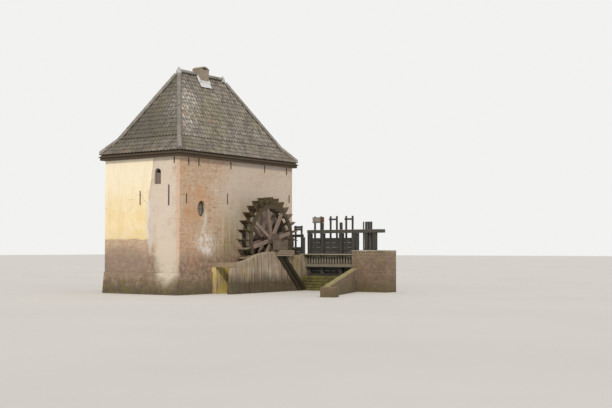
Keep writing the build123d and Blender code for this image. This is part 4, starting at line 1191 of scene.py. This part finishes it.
class WATERMILL_OT_wheel(bpy.types.Operator):
    """Builds the wheel's arms, rims, posts and floats from worn oak"""
    bl_idname = "watermill.wheel"
    bl_label = "Wheel"

    def execute(self, context):
        timber = context.scene.watermill_timber
        rng, wear = random.Random(timber.seed), timber.wear
        arms, rims, bolts, posts, blades = (Shape(rng) for _ in range(5))
        for place, low, high in boxes_of("wheel_arms", *ARMS):
            arms.board(low, high, 0, place, worn=wear * 1.4, stations=8)
        arms.finish("wheel_arms_oak", oak("wet_oak_arms"), "wheel_oak", "wheel_arms", body="wheel")

        r0, r1 = RIM_RADII
        mid = (r0 + r1) / 2
        half = math.radians(180 / ARMS[1]) - 0.002
        for place, low, high in boxes_of("wheel_rims", *ARMS):
            y = (low.y + high.y) / 2
            turn = math.atan2(place[2][0], place[0][0])

            def bent(point):
                angle = turn + point[0] / mid
                return Vector((point[1] * math.cos(angle), point[2], AXLE_Z + point[1] * math.sin(angle)))
            rims.board((-half * mid, r0, y - RIM_HALF), (half * mid, r1, y + RIM_HALF), 0, worn=wear, stations=10,
                       bend=bent)
            for way in (-1, 1):
                for angle in (turn - half + 0.05, turn - 0.035, turn + 0.035, turn + half - 0.05):
                    for r in (r0 + 0.06, r1 - 0.06):
                        bolts.stud(Vector((r * math.cos(angle), y + way * (RIM_HALF - 0.006),
                                           AXLE_Z + r * math.sin(angle))), (0, way, 0), 0.018, 0.012)
        rims.finish("wheel_rims_oak", oak("mossed_rim_oak"), "wheel_oak", "wheel_rims", body="wheel")
        bolts.finish("wheel_bolts", bpy.data.materials["rusted_wrought_iron"], "iron", body="wheel")

        for place, low, high in boxes_of("float_posts", *FLOATS):
            short = rng.uniform(0.0, 0.02)
            posts.board(low, (high.x - short, high.y, high.z), 0, place, worn=wear * 1.3, stations=4)
        posts.finish("float_posts_oak", oak("wet_oak_floats"), "wheel_oak", "float_posts", body="wheel")
        for place, low, high in boxes_of("floats", *FLOATS):
            split = low.x + (high.x - low.x) * rng.uniform(0.45, 0.55)
            worn_off = rng.uniform(0.0, 0.012)
            for x0, x1 in ((low.x, split - timber.gap / 2), (split + timber.gap / 2, high.x - worn_off)):
                blades.board((x0, low.y + rng.uniform(0, 0.012), low.z), (x1, high.y - rng.uniform(0, 0.012), high.z),
                             1, place, worn=wear, stations=6)
        blades.finish("wheel_floats_oak", oak("wet_oak_floats"), "wheel_oak", "floats", body="wheel")
        return {"FINISHED"}


class WATERMILL_OT_axle(bpy.types.Operator):
    """Finishes the oak axle and the bearings it lies in"""
    bl_idname = "watermill.axle"
    bl_label = "Axle and bearings"

    def execute(self, context):
        rng = random.Random(53)
        shape, ledge, strut = (Shape(rng) for _ in range(3))
        dress("axle", oak("axle_oak"), bevel=0.012)
        dress("bearing_blocks", oak("bearing_block_oak"), bevel=0.012)
        low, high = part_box("bearing_sleeper")
        shape.planks(low, high, 0, 1, 2, 0.006, worn=0.012, stations=7)
        shape.finish("bearing_sleeper_oak", oak("bleached_sleeper_oak"), "weir_wood", "bearing_sleeper")
        wall_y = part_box("race_outer_wall")[0].y
        ledge.board((LEDGE_X[0], low.y, low.z - 0.045), (LEDGE_X[1], wall_y - 0.003, low.z - 0.004), 0, stations=8)
        ledge.finish("bearing_ledge", oak("limed_ledge_oak"), "weir_wood")
        # Two near-black timbers side by side: the second stands for the strut's cast shadow on the wall, as painted
        # shade
        for left in (-STRUT_WIDE - STRUT_SLIT / 2, STRUT_SLIT / 2):
            def leaning(point):
                return Vector((STRUT_X + left + point[0] + (1.0 - point[2]) / STRUT_LEAN, point[1], point[2]))
            strut.board((0, wall_y - 0.09, 0.0), (STRUT_WIDE, wall_y - 0.002, low.z - 0.049), 2, worn=0.008,
                        stations=10, bend=leaning)
        strut.finish("bearing_strut", oak("near_black_strut_oak"), "weir_wood")
        return {"FINISHED"}


class WATERMILL_OT_race(bpy.types.Operator):
    """Renders the race's outer wall and finishes its lining, lintel and bed"""
    bl_idname = "watermill.race"
    bl_label = "Race"

    def execute(self, context):
        settings = context.scene.watermill_masonry
        low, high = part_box("race_outer_wall")
        seat_low, seat_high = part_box("race_lintel")
        swept = sorted({(round(x, 4), round(z, 4)) for x, _, z in solids_of("race_outer_wall")[0]
                        if -3.17 < x < -0.3 and z > 1.3})
        # each column of the grid: where its top and its foot stand, and how high it is
        columns = [(seat_low.x, low.x, seat_low.z), (seat_high.x, seat_high.x, seat_low.z)]
        for i in range(41):
            x = seat_high.x + 0.0005 + (RACE_STEP_X - seat_high.x - 0.001) * i / 40
            top = float(np.interp(min(max(x, RACE_SWEEP[0]), RACE_SWEEP[1]), *zip(*swept)))
            columns.append((x, x, top if x < RACE_SWEEP[2] else high.z))
        count = int((high.x - RACE_STEP_X) / settings.cell)
        columns += [(x, x, RACE_FLAT_Z) for x in (RACE_STEP_X + (high.x - RACE_STEP_X) * i / count
                                                  for i in range(count + 1))]
        rows, edge = 22, 0.012
        shape, grids = Shape(), []
        for y, way in ((low.y, 1), (high.y, -1)):
            grid = []
            for j in range(rows + 1):
                grid.append([])
                for x_top, x_foot, z_top in columns:
                    z = z_top * j / rows
                    x = x_foot + (x_top - x_foot) * j / rows
                    rough = noise.fractal(Vector((x * 1.3, y, z * 1.3)), 1.0, 2.0, 5)
                    dip = settings.unevenness * 0.5 * (1 + max(-1.0, min(1.0, rough)))
                    grid[-1].append(Vector((x, y + way * (dip + (edge if j == rows else 0.0)), z)))
            grids.append(grid)
            shape.strip(grid if way > 0 else [row[::-1] for row in grid])
        front, back = grids
        crown = [[a.lerp(b, share) for a, b in zip(front[-1], back[-1])] for share in (0.12, 0.5, 0.88)]
        for point in front[-1] + back[-1]:
            point.z -= edge
        shape.strip([front[-1], *crown, back[-1]])
        shape.strip([[row[0] for row in front], [row[0] for row in back]])
        shape.strip([[row[-1] for row in back], [row[-1] for row in front]])
        wall = masonry_material("washed_race_masonry", "#aa9c88", "#8a7c6a", "#5f5a34", 1.0, 0.2)
        shape.finish("race_wall_rendered", wall, "wet_stone", "race_outer_wall", smooth=40)
        # Painted light: the lining's pale colours make it look sunlit inside the shaded race, over its real yellow
        # moss
        lining = masonry_material("mossy_lining_masonry_painted_sunlit", "#eedaa0", "#d2ba72", "#c0b147", 0.2, 0.7)
        dress("race_lining", lining, bevel=0.02)
        dress("race_bed", masonry_material("wet_bed_stone", "#6d6252", "#4d4538", "#4f4c2c", 0.1, 0.4), bevel=0.01)
        dress("race_lintel", stone_material("weathered_lintel_stone", "#a4937a", "#85765f", 0.4), bevel=0.015)
        return {"FINISHED"}


class WATERMILL_OT_weir(bpy.types.Operator):
    """Builds the weir's posts, beams, walkway, rack and sill"""
    bl_idname = "watermill.weir"
    bl_label = "Weir"

    def execute(self, context):
        gap, rng = context.scene.watermill_timber.gap, random.Random(61)
        for node, finish, along, worn in (("weir_posts", "dark_weir_oak", 2, 0.012),
                                          ("weir_beam", "rubbed_weir_beam_oak_with_sheen", 1, 0.014),
                                          ("weir_low_beam", "damp_weir_oak", 1, 0.012),
                                          ("weir_rack", "damp_weir_oak", 2, 0.005),
                                          ("bank_boards", "dark_weir_oak", 2, 0.005),
                                          ("race_beam", "dark_weir_oak", 1, 0.01)):
            shape = Shape(rng)
            for _, low, high in boxes_of(node):
                if node == "weir_posts" and high.z > CREST_SPLIT_Z + 0.1:
                    crest = (Vector((low.x, low.y, CREST_SPLIT_Z)), high.copy())
                    high.z = CREST_SPLIT_Z - gap
                shape.board(low, high, along, worn=worn, stations=8)
            shape.finish(node + "_oak", oak(finish), "weir_wood", node)
        board, walkway, sill = (Shape(rng) for _ in range(3))
        board.board(*crest, 1)
        board.finish("reddened_crest_board", oak("reddened_crest_board"), "weir_wood")
        walkway.planks(*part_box("weir_walkway"), 1, 0, 2, 0.008, worn=0.007, stations=8)
        walkway.finish("weir_walkway_planks", oak("walked_weir_oak"), "weir_wood", "weir_walkway")
        low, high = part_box("weir_sill")
        course = (high.z - low.z) / 5
        for z in (low.z + course * i for i in range(5)):
            sill.planks((low.x, low.y, z), (high.x, high.y, z + course - 0.004), 1, 0, 3, worn=0.012, stations=8)
        sill.finish("weir_sill_timbers", oak("mossy_sill_oak"), "wet_stone", "weir_sill")
        dress("gate_keepers", oak("keeper_oak"), bevel=0.004)
        return {"FINISHED"}


class WATERMILL_OT_gates(bpy.types.Operator):
    """Builds the lifting gates from planks, stems and head boards"""
    bl_idname = "watermill.gates"
    bl_label = "Gates"

    def execute(self, context):
        timber, rng = context.scene.watermill_timber, random.Random(67)
        for gate, (leaf_top, foot, top, lap) in GATES.items():
            low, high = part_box(gate)
            shape, head, bolts = (Shape(rng) for _ in range(3))
            shape.planks(low, (low.x + LEAF_T, high.y, leaf_top), 1, 2, timber.leaf_planks, 0.001, worn=0.004)
            x0 = low.x + LEAF_T
            y0 = low.y + (high.y - low.y - STEM_PAIR) / 2
            y1 = high.y - (high.y - low.y - STEM_PAIR) / 2
            for y in (y0, y1 - STEM_W):
                shape.board((x0, y, low.z), (x0 + STEM_D, y + STEM_W, high.z), 2, worn=0.008, stations=10)
            shape.finish(gate + "_planked", oak("dark_weir_oak"), "weir_wood", gate, body=gate)
            count = 2 if top - foot > 0.2 else 1
            head.planks((x0 - HEAD_T, y0 - lap, foot), (x0, y1 + lap, top), 1, 2, count, timber.gap)
            silvered = oak("silvered_head_board" if gate == "gate_a" else "dark_weir_oak")
            head.finish(gate + "_head", silvered, "weir_wood", body=gate)
            for y in (y0 + STEM_W / 2, y1 - STEM_W / 2):
                for n in range(count):
                    z = foot + (top - foot) * (n + 0.5) / count
                    bolts.stud(Vector((x0 - HEAD_T + 0.004, y, z)), (-1, 0, 0), 0.014, 0.012)
            bolts.finish(gate + "_bolts", bpy.data.materials["rusted_wrought_iron"], "iron", body=gate)
        return {"FINISHED"}


class WATERMILL_OT_bank(bpy.types.Operator):
    """Lays the bricks of the abutment, the wing wall and the block at its end"""
    bl_idname = "watermill.bank"
    bl_label = "Bank walls"

    def execute(self, context):
        settings, rng = context.scene.watermill_brick, random.Random(71)
        bricks = dark_brick_material("burnt_bank_brick", "#6d5348", "#8b7060", "#5b5140", "#726d38", foot_z=0.7)
        for node in ("abutment", "wing_wall", "wing_end_block"):
            dress(node, bpy.data.materials["lime_mortar"])
        block, wing = Brickwork(rng, settings), Brickwork(rng, settings)
        low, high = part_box("abutment")
        block.round_block(corners_of(low, high), high.z)
        block.finish("bricks_abutment", bricks, "brick")
        along = (WING_END - WING_START).normalized()
        across = Vector((-along.y, along.x, 0))
        span = (WING_END - WING_START).length
        for start, way, width, (z0, z1) in ((WING_START, along, span, WING_TOPS),
                                            (WING_END + across * WING_T, -along, span - WING_BLOCK[0],
                                             WING_TOPS[::-1])):
            wing.courses(face_frame(start, way), width, WING_TOPS[0],
                         top=lambda u: z0 + (z1 - z0) * min(max(u, 0), span) / span - 0.003)
        a, b = along * WING_BLOCK[0], across * WING_BLOCK[1]
        wing.round_block([WING_END, WING_END + a, WING_END + a + b, WING_END + b], WING_BLOCK[2])
        wing.finish("bricks_wing_wall", bricks, "brick")
        coping = Shape(rng)
        coping.planks(*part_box("abutment_coping"), 1, 1, 4, 0.008, worn=0.012)
        stone = stone_material("weathered_coping_stone", "#b9af9b", "#978c7b", 0.35)
        coping.finish("coping_slabs", stone, "stone", "abutment_coping")
        return {"FINISHED"}


def aim(name, data, direction):
    """Adds a lamp or a camera that looks along a direction."""
    obj = bpy.data.objects.new(name, data)
    obj.rotation_mode = "QUATERNION"
    obj.rotation_quaternion = Vector(direction).to_track_quat("-Z", "Y")
    bpy.context.scene.collection.objects.link(obj)
    return obj


class WATERMILL_OT_stage(bpy.types.Operator):
    """Sets the floor, the lights, the camera and the pale background"""
    bl_idname = "watermill.stage"
    bl_label = "Stage"

    def execute(self, context):
        scene, settings = context.scene, context.scene.watermill_stage
        half = FLOOR_HALF
        mesh = bpy.data.meshes.new("stage_floor")
        mesh.from_pydata([(-half, -half, 0), (half, -half, 0), (half, half, 0), (-half, half, 0)], [], [(0, 1, 2, 3)])
        floor = bpy.data.objects.new("stage_floor", mesh)
        scene.collection.objects.link(floor)
        floor.location.z = -0.002
        paint = Finish("matt_studio_paint", 0.95, settings.floor)
        paint.coat("#d8d6d1", (4000,))
        mesh.materials.append(paint.done())

        world = bpy.data.worlds.new("studio")
        scene.world = world
        world.use_nodes = True
        tree = world.node_tree
        tree.nodes.clear()
        path = add_node(tree, "ShaderNodeLightPath")
        seen = path["Is Camera Ray"]
        for ray in ("Is Glossy Ray", "Is Transmission Ray"):
            seen = add_node(tree, "ShaderNodeMath", {0: seen, 1: path[ray]}, operation="MAXIMUM")[0]
        light = add_node(tree, "ShaderNodeBackground", {0: linear("#f4f7ff"), 1: settings.fill})[0]
        pale = add_node(tree, "ShaderNodeBackground", {0: linear("#f2f2f0"), 1: 1.0})[0]
        both = add_node(tree, "ShaderNodeMixShader", {0: seen, 1: light, 2: pale})[0]
        add_node(tree, "ShaderNodeOutputWorld", {0: both})

        sun = bpy.data.lights.new("key_light", "SUN")
        sun.energy = settings.key
        sun.angle = KEY_WIDTH
        sun.color = linear("#fff4e2")[:3]
        aim("key_light", sun, KEY_AIM)
        yaw, pitch = CAMERA_TURN
        camera = aim("camera", bpy.data.cameras.new("camera"),
                     (math.cos(yaw) * math.cos(pitch), math.sin(yaw) * math.cos(pitch), math.sin(pitch)))
        camera.location = CAMERA_PLACE
        camera.data.lens = settings.lens
        camera.data.sensor_width = 36.0
        camera.data.clip_end = 1000.0
        scene.camera = camera
        scene.view_settings.view_transform = "Standard"
        return {"FINISHED"}


class WATERMILL_PT_panel(bpy.types.Panel):
    """Lists the steps that dress the watermill"""
    bl_label = "Watermill"
    bl_idname = "WATERMILL_PT_panel"
    bl_space_type = "VIEW_3D"
    bl_region_type = "UI"
    bl_category = "Watermill"

    def draw(self, context):
        for step in OPERATORS:
            self.layout.operator(step.bl_idname)


SETTINGS = {"watermill_brick": BrickSettings, "watermill_roof": RoofSettings, "watermill_timber": TimberSettings,
            "watermill_masonry": MasonrySettings, "watermill_stage": StageSettings}
OPERATORS = (WATERMILL_OT_brickwork, WATERMILL_OT_plaster, WATERMILL_OT_pantiles, WATERMILL_OT_ridge_tiles,
             WATERMILL_OT_leadwork, WATERMILL_OT_chimney, WATERMILL_OT_eaves, WATERMILL_OT_windows,
             WATERMILL_OT_ironwork, WATERMILL_OT_wheel, WATERMILL_OT_axle, WATERMILL_OT_race, WATERMILL_OT_weir,
             WATERMILL_OT_gates, WATERMILL_OT_bank, WATERMILL_OT_stage)


def register():
    for name, group in SETTINGS.items():
        bpy.utils.register_class(group)
        setattr(bpy.types.Scene, name, PointerProperty(type=group))
    for step in OPERATORS:
        bpy.utils.register_class(step)
    bpy.utils.register_class(WATERMILL_PT_panel)


def unregister():
    bpy.utils.unregister_class(WATERMILL_PT_panel)
    for step in reversed(OPERATORS):
        bpy.utils.unregister_class(step)
    for name, group in SETTINGS.items():
        delattr(bpy.types.Scene, name)
        bpy.utils.unregister_class(group)


def main():
    register()
    for step in OPERATORS:
        family, name = step.bl_idname.split(".")
        getattr(getattr(bpy.ops, family), name)()


if __name__ == "__main__":
    main()
